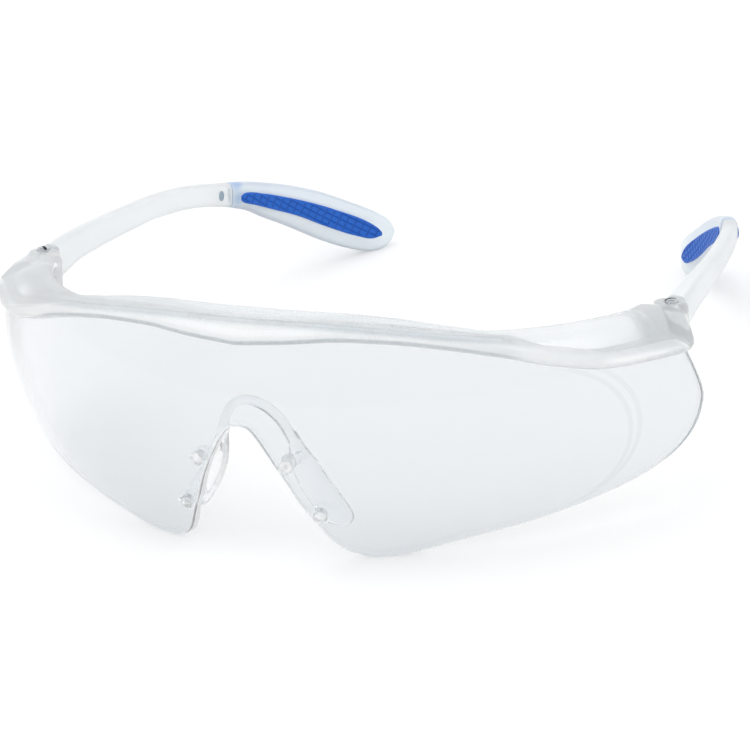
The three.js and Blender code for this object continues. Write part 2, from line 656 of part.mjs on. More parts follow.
glasses.add(piece('lens', lensBody.subtract(groundBody), CLEAR));
glasses.add(piece('brow_bar', browBody, SATIN));
glasses.add(piece('nose_bridge', noseBody, SOFT));
for (const [side, hand] of [['left', (body) => body], ['right', mirrored]]) {
  glasses.add(piece(`temple_${side}`, hand(armBody), FROST));
  glasses.add(piece(`tip_sleeve_${side}`, hand(sleeveBody.subtract(groundBody)), FROST));
  glasses.add(piece(`grip_${side}`, hand(gripBody), RUBBER));
  glasses.add(piece(`lock_pin_${side}`, hand(pinBody), RUBBER));
  glasses.add(piece(`hinge_screw_${side}`, hand(screwBody), STEEL));
}

export default glasses;
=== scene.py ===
"""Clear wraparound safety glasses with a blue rubber grip in each temple tip, open on a white table."""

import json
import math

import bpy
import numpy as np
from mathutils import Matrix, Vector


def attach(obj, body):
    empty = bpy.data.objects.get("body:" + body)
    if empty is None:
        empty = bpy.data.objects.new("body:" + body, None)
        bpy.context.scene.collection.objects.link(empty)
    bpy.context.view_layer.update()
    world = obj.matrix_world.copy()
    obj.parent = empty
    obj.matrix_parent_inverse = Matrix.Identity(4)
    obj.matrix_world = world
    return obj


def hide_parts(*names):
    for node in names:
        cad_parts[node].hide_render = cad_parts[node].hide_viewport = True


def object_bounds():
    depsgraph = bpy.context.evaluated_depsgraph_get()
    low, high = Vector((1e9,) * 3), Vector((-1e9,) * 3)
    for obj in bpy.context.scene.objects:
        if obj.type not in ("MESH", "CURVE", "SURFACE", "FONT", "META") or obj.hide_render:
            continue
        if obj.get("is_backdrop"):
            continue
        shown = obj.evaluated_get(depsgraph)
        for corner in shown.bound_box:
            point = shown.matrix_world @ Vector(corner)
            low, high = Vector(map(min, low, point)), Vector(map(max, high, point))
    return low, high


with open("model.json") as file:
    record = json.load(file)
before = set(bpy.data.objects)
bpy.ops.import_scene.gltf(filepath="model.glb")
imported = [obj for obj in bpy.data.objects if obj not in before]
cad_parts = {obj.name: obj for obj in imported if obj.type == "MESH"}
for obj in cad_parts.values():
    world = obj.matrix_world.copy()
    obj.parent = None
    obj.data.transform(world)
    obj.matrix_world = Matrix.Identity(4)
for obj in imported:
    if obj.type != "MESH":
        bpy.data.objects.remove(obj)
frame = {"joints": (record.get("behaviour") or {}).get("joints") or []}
cad_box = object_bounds()

# ---- Table, light and camera -------------------------------------------------
# A white laminate table that runs on into a white room, under a broad overhead light, a window on the left
# and a fill on the right. The room's ceiling is grey: clear plastic shows its edges by mirroring it.

SMOOTH = {"interpolation_type": "SMOOTHSTEP"}
COLOURS = {"data_type": "RGBA"}
ROOM_LIGHT = 0.9
ROOM_WHITE = "#ffffff"
ROOM_UPPER = "#b6bdc2"
ROOM_UPPER_FROM = (0.6, 0.92)  # heights of a direction between which the white turns to grey
LAMP_AIM = (0, 0, 0.02)
TABLE_SIZE = 6.0
TABLE_PALENESS = 0.62
TABLE_SEEN_WHITER = 0.31


def linear(hex_colour):
    """The linear RGBA of an sRGB hex colour."""
    parts = np.array([int(hex_colour[i : i + 2], 16) for i in (1, 3, 5)]) / 255
    low = parts / 12.92
    high = ((parts + 0.055) / 1.055) ** 2.4
    return (*np.where(parts <= 0.04045, low, high), 1.0)


def add_node(tree, kind, settings=None, *values, **inputs):
    """Adds a node with its settings, or just its operation. Values fill its first sockets, and inputs go by
    name or number. A node as a value links its first output, and a hex colour is turned to linear."""
    node = tree.nodes.new("ShaderNode" + kind)
    if isinstance(settings, str):
        settings = {"operation": settings}
    for key, value in (settings or {}).items():
        setattr(node, key, value)
    for key, value in ({f"in_{k}": value for k, value in enumerate(values)} | inputs).items():
        if key.startswith("in_"):
            socket = node.inputs[int(key[3:])]
        else:
            socket = next(s for s in node.inputs if s.name.lower().replace(" ", "_") == key)
        if isinstance(value, bpy.types.Node):
            value = value.outputs[0]
        elif isinstance(value, str):
            value = linear(value)
        if isinstance(value, bpy.types.NodeSocket):
            tree.links.new(value, socket)
        else:
            socket.default_value = value
    return node


def seen_directly(tree):
    """1 for rays from the camera, from a mirror face or through clear plastic, 0 for the light itself."""
    path = add_node(tree, "LightPath")
    first = add_node(tree, "Math", "MAXIMUM", path.outputs["Is Camera Ray"], path.outputs["Is Glossy Ray"])
    return add_node(tree, "Math", "MAXIMUM", first, path.outputs["Is Transmission Ray"])


world = bpy.data.worlds.new("white_studio")
bpy.context.scene.world = world
world.use_nodes = True
tree = world.node_tree
tree.nodes.clear()
direction = add_node(tree, "TexCoord").outputs["Generated"]
height = add_node(tree, "SeparateXYZ", vector=direction).outputs["Z"]
upper = add_node(tree, "MapRange", SMOOTH, height, *ROOM_UPPER_FROM)
room = add_node(tree, "Mix", COLOURS, upper, in_6=ROOM_WHITE, in_7=ROOM_UPPER)
seen = add_node(tree, "Background", color=room.outputs[2], strength=1.0)
cast = add_node(tree, "Background", color=ROOM_WHITE, strength=ROOM_LIGHT)
both = add_node(tree, "MixShader", None, seen_directly(tree), cast, seen)
add_node(tree, "OutputWorld", surface=both)


def placed(name, data):
    """An object of its own for some data, in the scene."""
    thing = bpy.data.objects.new(name, data)
    bpy.context.scene.collection.objects.link(thing)
    return thing


def lamp(name, place, size, watts):
    """A square softbox at a place; its tilt and turn are the angles of the way to the glasses."""
    light = bpy.data.lights.new(name, "AREA")
    light.shape = "SQUARE"
    light.size = size
    light.energy = watts
    holder = placed(name, light)
    toward = np.array(LAMP_AIM) - np.array(place)
    flat = math.hypot(toward[0], toward[1])
    holder.location = place
    holder.rotation_euler = (math.atan2(flat, -toward[2]), 0, math.atan2(-toward[0], toward[1]))
    holder.visible_glossy = False
    holder.visible_transmission = False


def new_finish(name):
    """An empty material, and its node tree."""
    finish = bpy.data.materials.new(name)
    finish.use_nodes = True
    finish.node_tree.nodes.clear()
    return finish, finish.node_tree


lamp("overhead_softbox", (-0.35, -0.2, 1.3), 0.9, 5.0)
lamp("left_window", (-0.9, -0.75, 0.5), 0.6, 2.4)
lamp("right_fill", (1.1, -0.7, 0.6), 0.7, 4.0)

table_mesh = bpy.data.meshes.new("table")
half = TABLE_SIZE / 2
corners = [(-half, -half, 0), (half, -half, 0), (half, half, 0), (-half, half, 0)]
table_mesh.from_pydata(corners, [], [range(4)])
table = placed("table", table_mesh)
laminate, tree = new_finish("white_laminate")
matt = add_node(tree, "BsdfDiffuse", color=(*[TABLE_PALENESS] * 3, 1))
strength = add_node(tree, "Math", "MULTIPLY", seen_directly(tree), TABLE_SEEN_WHITER)
glow = add_node(tree, "Emission", strength=strength)
surface = add_node(tree, "AddShader", None, matt, glow)
add_node(tree, "OutputMaterial", surface=surface)
table_mesh.materials.append(laminate)
table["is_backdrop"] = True

CAMERA_PLACE = (0.261582, -0.578875, 0.291442)
CAMERA_TURN = (65.677, 4.8808, 22.6747)  # degrees
CAMERA_LENS = 162.566  # millimetres, on a 36 mm sensor
camera = placed("camera", bpy.data.cameras.new("camera"))
camera.data.lens = CAMERA_LENS
camera.data.sensor_width = 36
camera.location = CAMERA_PLACE
camera.rotation_euler = [math.radians(a) for a in CAMERA_TURN]
bpy.context.scene.camera = camera
bpy.context.scene.view_settings.view_transform = "Standard"

# ---- Lens --------------------------------------------------------------------
# One injection-moulded clear polycarbonate shield that wraps from temple to temple, with the nose cut and
# both side shields in one piece. Its rim is rounded by the mould, and four small holes take the nose pegs.

MM = 0.001  # sizes are millimetres of the level glasses, and angles radians, where nothing else is said
LENS_HALF_ARC = 92.8
LENS_TURN = 0.965
SIDE_FLATTENING = 0.245
LENS_DROP = 30.2
BOWL_RADIUS = 44.6
LENS_THICKNESS = 2.2
RIM_ROUND = 0.45
LENS_GRID = (321, 41)  # upright columns, and points up each
COLUMN_CROWDING = 0.35  # share by which the columns gather towards the two ends
CREASE_CENTRE = (0.05, 0, 0.021)  # metres
CREASE_RADIUS = 0.01475
CREASE_HALF_WIDTH = 0.00022
CREASE_FADE = (CREASE_CENTRE[0] + 0.002, CREASE_CENTRE[0] + 0.011)  # it grows clearer outwards


def through(*points):
    """A smooth curve through [place, value] points that never overshoots: cubic pieces whose slope at each
    point is the harmonic mean of the slopes on its two sides."""
    x, y = np.array(points, float).T
    width = np.diff(x)
    slope = np.diff(y) / width
    product = slope[:-1] * slope[1:]
    total = np.where(product > 0, slope[:-1] + slope[1:], 1)
    tangent = np.concatenate([slope[:1], np.where(product > 0, 2 * product / total, 0), slope[-1:]])

    def value(place):
        place = np.clip(place, x[0], x[-1])
        i = np.clip(np.searchsorted(x, place, side="right") - 1, 0, len(x) - 2)
        t = (place - x[i]) / width[i]
        rise = y[i + 1] - y[i]
        bend_in = (tangent[i] * width[i] - rise) * t * (1 - t) ** 2
        bend_out = (rise - tangent[i + 1] * width[i]) * t * t * (1 - t)
        return y[i] + rise * t + bend_in + bend_out

    return value


# The plan curve: its turn grows along the arc up to LENS_TURN at each end, and it is summed by trapezia.
walk = np.linspace(-1.3 * LENS_HALF_ARC, 1.3 * LENS_HALF_ARC, 8001)
share = walk / LENS_HALF_ARC
walk_turn = (LENS_TURN + SIDE_FLATTENING) * share - SIDE_FLATTENING * share**5
step = walk[1] - walk[0]
walk_x, walk_y = (
    np.concatenate([[0], np.cumsum((way[1:] + way[:-1]) / 2 * step)])
    for way in (np.cos(walk_turn), np.sin(walk_turn))
)
walk_x -= np.interp(0, walk, walk_x)
walk_y -= np.interp(0, walk, walk_y)


def front(arc, out, z):
    """A point of the level glasses in millimetres: walk an arc from the nose along the lens's plan curve,
    go out along its normal, less the bowl's sag, and up to a height."""
    turn = np.interp(arc, walk, walk_turn)
    along = out - z * z / (2 * BOWL_RADIUS)
    x = np.interp(arc, walk, walk_x) + np.sin(turn) * along
    y = np.interp(arc, walk, walk_y) - np.cos(turn) * along
    return np.stack(np.broadcast_arrays(x, y, z), -1)


HINGE_SETBACK = 1.7
HINGE_INSET = 8.3
EAR_BOTTOM = 6.3
EAR_TOP = 13.9
hinge_arc = LENS_HALF_ARC - HINGE_SETBACK
hinge = front(np.array(hinge_arc), -HINGE_INSET, np.array(0.0)) + (0, 0, (EAR_BOTTOM + EAR_TOP) / 2)
left_joint = next(j for j in frame["joints"] if j["name"] == "left_hinge")
lean_y, lean_z = left_joint["axis"][1:]


def to_row(points):
    """Level millimetres to the row's metres: tip back by the lean of the hinge axis, and bring the left
    hinge to its joint."""
    tip = np.array([[1, 0, 0], [0, lean_z, lean_y], [0, -lean_y, lean_z]])
    return (np.asarray(points) - hinge) @ tip.T * MM + np.array(left_joint["pos_m"])


def made(name, points, faces, finishes=(), finish_of_face=None):
    """A mesh object from level points in millimetres; what would dip under the table is a rest flat."""
    mesh = bpy.data.meshes.new(name)
    points = np.clip(to_row(points), (-np.inf, -np.inf, 0), (np.inf, cad_box[1][1], np.inf))
    mesh.from_pydata(points.tolist(), [], faces if isinstance(faces, list) else faces.tolist())
    for finish in finishes:
        mesh.materials.append(finish)
    if finish_of_face is not None:
        mesh.polygons.foreach_set("material_index", np.asarray(finish_of_face, np.int32))
    mesh.update()
    return placed(name, mesh)


def grid_faces(rows, columns, closed=False):
    """Quads between neighbouring rows and columns; closed joins the last column to the first."""
    i, j = np.meshgrid(np.arange(rows - 1), np.arange(columns if closed else columns - 1), indexing="ij")
    k = (j + 1) % columns
    quads = np.stack([i * columns + j, i * columns + k, (i + 1) * columns + k, (i + 1) * columns + j], -1)
    return quads.reshape(-1, 4)


lower_edge = through(
    (0, -0.103), (0.018, -0.113), (0.038, -0.175), (0.066, -0.315), (0.093, -0.46), (0.117, -0.606),
    (0.144, -0.735), (0.172, -0.861), (0.194, -0.927), (0.226, -0.977), (0.275, -1), (0.323, -0.987),
    (0.463, -0.887), (0.639, -0.775), (0.773, -0.669), (0.865, -0.576), (0.93, -0.47), (0.973, -0.348),
    (0.9935, -0.225), (1, -0.132),
)
bar_low = through(
    (0, 12.2), (0.11, 12.9), (0.215, 13.6), (0.32, 13.2), (0.43, 11.9), (0.54, 9.9), (0.65, 7.4),
    (0.76, 5.9), (0.86, 6.1), (0.95, EAR_BOTTOM), (1.1, EAR_BOTTOM),
)
LENS_TUCK = 2.3
LOBE_START = 0.93
lobe_top = through(
    (LOBE_START, 8.3), (0.956, 7), (0.972, 4.2), (0.989, 0.8), (0.997, -1.2), (1, -2.2),
)


def upper_edge(u):
    """Height of the lens's upper edge: tucked into the bar, then down round the side shield."""
    return np.where(u < LOBE_START, bar_low(u) + LENS_TUCK, lobe_top(u))


def lens_outline(grow=0.0):
    """Arc and height of the lens's lower and upper edges, moved outwards by grow along their normals."""
    lean = np.linspace(-math.pi / 2, math.pi / 2, 1601)
    u = np.sin(lean) * (1 - 1e-9)
    edges = []
    for z, way in ((lower_edge(abs(u)) * LENS_DROP, 1), (upper_edge(abs(u)), -1)):
        arc = u * LENS_HALF_ARC
        da, dz = np.gradient(arc), np.gradient(z)
        length = np.hypot(da, dz)
        edges.append((arc + way * dz / length * grow, z - way * da / length * grow))
    return edges


def lens_solid(name, grow, thick_grow, columns, rows, finishes=()):
    """The lens as a closed skin: an outer and an inner face on one grid of upright columns, and a rim whose
    profile turns from one face to the other in a quarter round, a flat and a quarter round."""
    (low_arc, low_z), (top_arc, top_z) = lens_outline(grow - RIM_ROUND)
    reach = min(abs(low_arc).max(), abs(top_arc).max()) - 1e-3
    even = np.linspace(-1, 1, columns)
    arc = (np.sin(even * math.pi / 2) * COLUMN_CROWDING + even * (1 - COLUMN_CROWDING)) * reach
    low = np.interp(arc, low_arc, low_z)
    top = np.interp(arc, top_arc, top_z)
    rise = np.linspace(0, 1, rows)[:, None]
    z = low * (1 - rise) + top * rise
    a = np.broadcast_to(arc, z.shape)
    front_face, back_face = thick_grow, -LENS_THICKNESS - thick_grow
    ring = np.concatenate([
        np.arange(columns),
        np.arange(1, rows) * columns + columns - 1,
        (rows - 1) * columns + np.arange(columns - 2, -1, -1),
        np.arange(rows - 2, 0, -1) * columns,
    ])
    ra, rz = a.ravel()[ring], z.ravel()[ring]
    da, dz = (np.roll(v, -1) - np.roll(v, 1) for v in (ra, rz))
    length = np.hypot(da, dz)
    na, nz = dz / length, -da / length
    quarter = np.linspace(0, math.pi / 2, 6)[1:]
    spread = np.concatenate([np.sin(quarter), np.cos(quarter)[:-1]]) * RIM_ROUND
    depth = np.concatenate([
        front_face - (1 - np.cos(quarter)) * RIM_ROUND, back_face + (1 - np.sin(quarter))[:-1] * RIM_ROUND,
    ])
    rim = front(ra + na * spread[:, None], depth[:, None], rz + nz * spread[:, None])
    outer = front(a, front_face, z).reshape(-1, 3)
    inner = front(a, back_face, z).reshape(-1, 3)
    count = rows * columns
    face = grid_faces(rows, columns)
    between = 2 * count + np.arange(len(depth) * len(ring)).reshape(len(depth), -1)
    rings = [ring, *between, ring + count]
    strips = [np.stack([a, b, np.roll(b, -1), np.roll(a, -1)], -1) for a, b in zip(rings[:-1], rings[1:])]
    rim_faces = np.concatenate(strips)
    faces = np.concatenate([face, face[:, ::-1] + count, rim_faces])
    rim_kind = np.repeat(np.where(np.arange(len(strips)) == len(quarter), 2, 1), len(ring))
    kind = np.concatenate([np.zeros(2 * len(face), int), rim_kind])
    points = np.concatenate([outer, inner, rim.reshape(-1, 3)])
    return made(name, points, faces, finishes, kind if len(finishes) > 1 else None)


def settle(piece):
    """Keeps the result of a piece's modifiers as its mesh."""
    bpy.context.view_layer.update()
    mesh = bpy.data.meshes.new_from_object(piece.evaluated_get(bpy.context.evaluated_depsgraph_get()))
    piece.modifiers.clear()
    old, piece.data = piece.data, mesh
    bpy.data.meshes.remove(old)


def combine(piece, how, *others):
    """Joins or cuts a closed piece with others, which are used up."""
    for other in others:
        step = piece.modifiers.new(how, "BOOLEAN")
        step.operation = how
        step.solver = "MANIFOLD"
        step.object = other
        settle(piece)
        bpy.data.objects.remove(other)
    return piece


def shade(piece, angle=35.0):
    """Smooth shading, with edges sharper than the angle left crisp."""
    piece.data.shade_smooth()
    piece.data.set_sharp_from_angle(angle=math.radians(angle))
    return piece


def finish_clear(tree, body, tint):
    """Ends a clear plastic's material: lamps and daylight come through, a little dimmed."""
    path = add_node(tree, "LightPath")
    open_air = add_node(tree, "BsdfTransparent", color=tint)
    surface = add_node(tree, "MixShader", None, path.outputs["Is Shadow Ray"], body, open_air)
    add_node(tree, "OutputMaterial", surface=surface)


def grained(name, scale, detail, strength, depth):
    """A material with an even grain: also its tree, the place on the piece, and the grain's bump."""
    finish, tree = new_finish(name)
    place = add_node(tree, "TexCoord").outputs["Object"]
    grain = add_node(tree, "TexNoise", vector=place, scale=scale, detail=detail)
    return finish, tree, place, add_node(tree, "Bump", height=grain, strength=strength, distance=depth)


# Hard-coated polycarbonate, IOR 1.585, polished by the mould: mirror smooth with a hair-fine flow waviness.
polycarbonate, tree, place, ripple = grained("clear_hardcoated_polycarbonate", 28.0, 2.0, 0.02, 0.001)
haze = add_node(tree, "TexNoise", vector=place, scale=900.0, detail=3.0)
gloss = add_node(tree, "MapRange", SMOOTH, haze, 0.45, 0.8, 0.015, 0.06)
# Each side shield starts at a soft moulded crease, drawn as a darker line of painted shade: an arc round a
# point of the lens, seen from the front.
either_side = add_node(tree, "VectorMath", "ABSOLUTE", place)
upright = add_node(tree, "VectorMath", "MULTIPLY", either_side, (1, 0, 1))
apart = add_node(tree, "VectorMath", "DISTANCE", upright, CREASE_CENTRE)
off_line = add_node(tree, "Math", "SUBTRACT", apart.outputs["Value"], CREASE_RADIUS)
from_line = add_node(tree, "Math", "ABSOLUTE", off_line)
on_line = add_node(tree, "MapRange", SMOOTH, from_line, CREASE_HALF_WIDTH, 2 * CREASE_HALF_WIDTH, 1.0, 0.0)
outboard = add_node(tree, "SeparateXYZ", vector=upright).outputs["X"]
outer_half = add_node(tree, "MapRange", SMOOTH, outboard, *CREASE_FADE)
crease_shade = add_node(tree, "Math", "MULTIPLY", on_line, outer_half)
painted_shade_tone = add_node(tree, "Mix", COLOURS, crease_shade, in_6="#e8ebee", in_7="#dce1e4")
body = add_node(
    tree, "BsdfPrincipled", base_color=painted_shade_tone.outputs[2], ior=1.585, transmission_weight=1.0, roughness=gloss,
    normal=ripple,
)
finish_clear(tree, body, "#fafcfd")


def satin_finish(name, roughness, transmission):
    """The same plastic where the mould's parting faces leave the lens's rim satin and pale."""
    finish, tree, _, pits = grained(name, 2500.0, 2.0, 0.15, 0.0001)
    body = add_node(
        tree, "BsdfPrincipled", base_color="#f7f9fa", roughness=roughness, ior=1.585,
        transmission_weight=transmission, normal=pits,
    )
    finish_clear(tree, body, "#e3e8eb")
    return finish


rim_finish = satin_finish("satin_polycarbonate_rim", 0.25, 0.65)
parting_finish = satin_finish("pale_polycarbonate_parting_face", 0.4, 0.12)


def skin(name, sections, finishes=(), finish_of_quad=None):
    """A closed skin over rings of points, with each end ring drawn in to its own centre."""
    rows, columns, _ = sections.shape
    points = np.concatenate([sections.reshape(-1, 3), [sections[0].mean(0), sections[-1].mean(0)]])
    first = np.arange(columns)
    after = (first + 1) % columns
    count = rows * columns
    faces = grid_faces(rows, columns, closed=True).tolist()
    faces += np.stack([after, first, np.full(columns, count)], -1).tolist()
    last = count - columns
    faces += np.stack([first + last, after + last, np.full(columns, count + 1)], -1).tolist()
    finish_of_face = None
    if finish_of_quad is not None:
        finish_of_face = np.concatenate([finish_of_quad.ravel(), np.zeros(2 * columns, int)])
    return outward(made(name, points, faces, finishes, finish_of_face))


def outward(piece):
    """Turns a closed piece's faces outwards if its signed volume is negative."""
    mesh = piece.data
    mesh.calc_loop_triangles()
    corners = np.empty(len(mesh.loop_triangles) * 3, np.int32)
    mesh.loop_triangles.foreach_get("vertices", corners)
    points = np.empty(len(mesh.vertices) * 3)
    mesh.vertices.foreach_get("co", points)
    a, b, c = points.reshape(-1, 3)[corners.reshape(-1, 3)].transpose(1, 0, 2)
    if (np.cross(a, b) * c).sum() < 0:
        mesh.flip_normals()
    return piece


def turns(count):
    """Even angles round a circle."""
    return np.linspace(0, 2 * math.pi, count, endpoint=False)


def turned(name, profile, base, along, segments=48, finishes=()):
    """A profile of (radius, distance) carried round an axis: a point and a direction."""
    along = np.asarray(along, float) / np.linalg.norm(along)
    side = np.cross(along, [0.0, 0.0, 1.0] if abs(along[2]) < 0.9 else [0.0, 1.0, 0.0])
    side /= np.linalg.norm(side)
    radius, distance = np.array(profile, float).T
    angle = turns(segments)
    spoke = np.cos(angle)[:, None] * side + np.sin(angle)[:, None] * np.cross(along, side)
    return skin(name, base + distance[:, None, None] * along + radius[:, None, None] * spoke, finishes)


PEG_HOLE_RADIUS = 1.15
PEGS = ((0.0991, 0.341), (0.1595, 0.682))  # share of the half arc and of the drop


def through_lens(arc_share, drop_share, side):
    """The point on the lens's front face at a peg, and the direction straight in."""
    arc, z = side * arc_share * LENS_HALF_ARC, -drop_share * LENS_DROP
    turn = np.interp(arc, walk, walk_turn)
    inward = np.array([-math.sin(turn), math.cos(turn), -z / BOWL_RADIUS])
    return front(np.array(arc), 0, np.array(z)), inward / np.linalg.norm(inward)


lens = lens_solid("lens_shield", 0.0, 0.0, *LENS_GRID, (polycarbonate, rim_finish, parting_finish))
drill = [(PEG_HOLE_RADIUS, -2.0), (PEG_HOLE_RADIUS, LENS_THICKNESS + 2)]
for side in (-1, 1):
    for peg in PEGS:
        base, inward = through_lens(*peg, side)
        combine(lens, "DIFFERENCE", turned("drill", drill, base, inward, 40, (rim_finish,)))
shade(lens)
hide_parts("lens")
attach(lens, "front")

# ---- Brow bar ----------------------------------------------------------------
# A clear polycarbonate moulding clipped over the top of the lens. Its middle has a stippled forehead shelf;
# its ends are solid glossy blocks that carry the two forked hinge ears.

FIT = 0.15
HINGE_GAP = 0.3
LENS_SLOT_GAP = 0.3
SLOT_GRID = (201, 21)
EAR_THICKNESS = 2.1
EAR_RADIUS = 3.3
EAR_ROUND = 1.3
TAB_LENGTH = 5
KNUCKLE_RADIUS = 2.9
NECK_HALF_WIDTH = 1.9
SCREW_RADIUS = 0.75
SCREW_HEAD_RADIUS = 1.25
SCREW_HEAD_HEIGHT = 0.9
VISOR_END = 0.47
BAR_START = 0.6
BAR_WALL = 1.8
BAR_POINTS = 16
BAR_GRAIN = 0.4  # size of the steps it is filled with before smoothing
BAR_PASSES = 8
BAR_ROWS = 110
SWING_EXTRA = 0.6  # further room for the temple where smoothing leaves the bar fuller

front_top = through((0, 17.2), (0.13, 17.1), (0.24, 16.6), (0.34, 15.8), (0.44, 14.8), (0.54, 14), (1, 14))
shelf_top = through((0, 17.9), (0.2, 17.6), (0.34, 16.6), (0.44, 15.3), (0.54, 14.2), (1, 14))
shelf_reach = through((0, 6.2), (0.3, 6.1), (0.42, 5.4), (0.54, 4.9), (1, 4.9))
bar_top = through((0.4, 14.4), (0.54, 14.1), (0.7, 14), (0.88, 14), (1.1, EAR_TOP))
ear_outer = EAR_RADIUS - HINGE_INSET - HINGE_GAP
ear_inner = -EAR_RADIUS - HINGE_INSET - HINGE_GAP
bar_outer = through(
    (0.4, 2.1), (0.76, 2.2), (0.92, 2), (0.965, 0.8), (1, ear_outer + 2), (1.03, ear_outer),
    (1.1, ear_outer),
)
bar_inner = through(
    (0.4, -4.7), (0.6, -4.8), (0.76, -5.2), (0.86, -6.6), (0.93, -9.4), (0.98, ear_inner),
    (1.1, ear_inner),
)
bar_lean = through((0.45, 0), (0.7, 1.3), (0.85, 2.3), (0.94, 2.7), (0.98, 1.8), (1.03, 0), (1.1, 0))


def visor_section(u):
    """Out and up of the bar's middle section: front face, top, forehead shelf, back face."""
    low, top, rear, reach = bar_low(u), front_top(u), shelf_top(u), shelf_reach(u)
    back = -LENS_THICKNESS - BAR_WALL
    out = [
        0.9, 1.7, 2.1, 2.1, 1.7, 0.8, -1.6, 1.7 - reach, 0.6 - reach, -reach, 0.5 - reach, 1.5 - reach,
        back - 0.1, back, back + 0.4, back + 1.3,
    ]
    up = [
        low, low + 0.4, low + 1.1, top - 1.2, top - 0.35, top, (top + rear) / 2 - 0.1, rear, rear - 0.2,
        rear - 0.9, rear - 1.6, rear - 2, top - 2.6, low + 1, low + 0.3, low,
    ]
    return np.stack([np.stack([x + 0 * u for x in out], -1), np.stack(up, -1)], -1)


def squared(angle, power):
    """Across and up of a squared oval: cosine and sine to a power, each with its own sign kept."""
    return (np.sign(f(angle)) * abs(f(angle)) ** power for f in (np.cos, np.sin))


def bar_section(u, shrink):
    """Out and up of the bar's side section: a leaning, squared oval."""
    centre, half = (bar_outer(u) + bar_inner(u)) / 2, (bar_outer(u) - bar_inner(u)) / 2 * shrink
    middle, tall = (bar_top(u) + bar_low(u)) / 2, (bar_top(u) - bar_low(u)) / 2 * (0.8 + 0.2 * shrink)
    across, rise = squared(np.radians(-68 + 360 / BAR_POINTS * np.arange(BAR_POINTS)), 0.72)
    out = centre[:, None] + half[:, None] * across - bar_lean(u)[:, None] * rise
    return np.stack([out, middle[:, None] + tall[:, None] * rise], -1)


def rounded(section, steps=6):
    """Closed sections with rounded corners: quadratic B-spline arcs from side middle to side middle."""
    t = np.linspace(0, 1, steps, endpoint=False)[:, None]
    before = (section + np.roll(section, 1, axis=-2)) / 2
    after = (section + np.roll(section, -1, axis=-2)) / 2
    arcs = before[..., None, :] * (1 - t) ** 2 + section[..., None, :] * 2 * t * (1 - t)
    arcs = arcs + after[..., None, :] * t * t
    return arcs.reshape(*section.shape[:-2], -1, section.shape[-1])


def mirrored(piece, name):
    """The other side's copy: x changes sign and the faces are turned back outwards."""
    mesh = piece.data.copy()
    points = np.empty(len(mesh.vertices) * 3)
    mesh.vertices.foreach_get("co", points)
    mesh.vertices.foreach_set("co", (points.reshape(-1, 3) * (-1, 1, 1)).ravel())
    mesh.flip_normals()
    mesh.name = name
    return placed(name, mesh)


def prism(name, outline, low, high, finishes=()):
    """An upright prism on a closed plan outline."""
    outline = np.asarray(outline, float)
    count = len(outline)
    points = np.concatenate([np.column_stack([outline, np.full(count, z)]) for z in (low, high)])
    ring = list(range(count))
    faces = [ring[::-1], [count + k for k in ring]]
    faces += [[k, (k + 1) % count, count + (k + 1) % count, count + k] for k in ring]
    return outward(made(name, points, faces, finishes))


def circle(x, y, radius, count=96):
    """Plan points at even angles round a centre."""
    angle = turns(count)
    return np.stack([x + radius * np.cos(angle), y + radius * np.sin(angle)], -1)


def soften(piece, grain, passes):
    """Refills a closed piece in even steps, in millimetres, and smooths them, which rounds its creases."""
    refill = piece.modifiers.new("refill", "REMESH")
    refill.mode = "VOXEL"
    refill.voxel_size = grain * MM
    smooth = piece.modifiers.new("smooth", "SMOOTH")
    smooth.factor = 0.5
    smooth.iterations = passes
    settle(piece)


def brow_blank(finishes):
    """The bar before its slots: sections every millimetre or so along the lens, blending from the visor to
    the side section, with each end drawn in as a round."""
    end = hinge_arc / LENS_HALF_ARC
    round_end = np.array([0.15, 0.35, 0.55, 0.75, 0.95, 1.1, 1.25])
    beyond = end + np.sin(round_end) * EAR_RADIUS / LENS_HALF_ARC
    u = np.concatenate([np.linspace(0, end, BAR_ROWS), beyond])
    shrink = np.concatenate([np.ones(BAR_ROWS), np.cos(round_end)])
    t = np.clip((u - VISOR_END) / (BAR_START - VISOR_END), 0, 1)
    blend = (t * t * (3 - 2 * t))[:, None, None]
    half = rounded(visor_section(u) * (1 - blend) + bar_section(u, shrink) * blend)
    sections = np.concatenate([half[:0:-1], half])
    place = np.concatenate([-u[:0:-1], u])
    rings = front(place[:, None] * LENS_HALF_ARC, sections[..., 0], sections[..., 1])
    return skin("brow_moulding", rings, finishes)


def hinge_tab(finishes):
    """The end of the bar before it is slotted into two ears: half circles about the hinge axis and about a
    point buried in the bar, with the rims rounded in quarter circles."""
    lead = front(np.array(hinge_arc - TAB_LENGTH), -HINGE_INSET, np.array(0.0))
    heading = math.atan2(hinge[1] - lead[1], hinge[0] - lead[0])
    lean = np.linspace(-math.pi / 2, math.pi / 2, 25)
    radius = EAR_RADIUS - EAR_ROUND * (1 - np.cos(lean))
    z = np.where(lean < 0, EAR_BOTTOM + EAR_ROUND, EAR_TOP - EAR_ROUND) + EAR_ROUND * np.sin(lean)
    angle = heading + np.linspace(-math.pi / 2, math.pi / 2, 49)
    ways = np.stack([np.cos(angle), np.sin(angle)], -1)
    plan = [end[:2] + way * radius[:, None, None] * ways for end, way in ((hinge, 1), (lead, -1))]
    plan = np.concatenate(plan, axis=1)
    rings = np.concatenate([plan, np.broadcast_to(z[:, None, None], (*plan.shape[:2], 1))], -1)
    return skin("tab", rings, finishes)


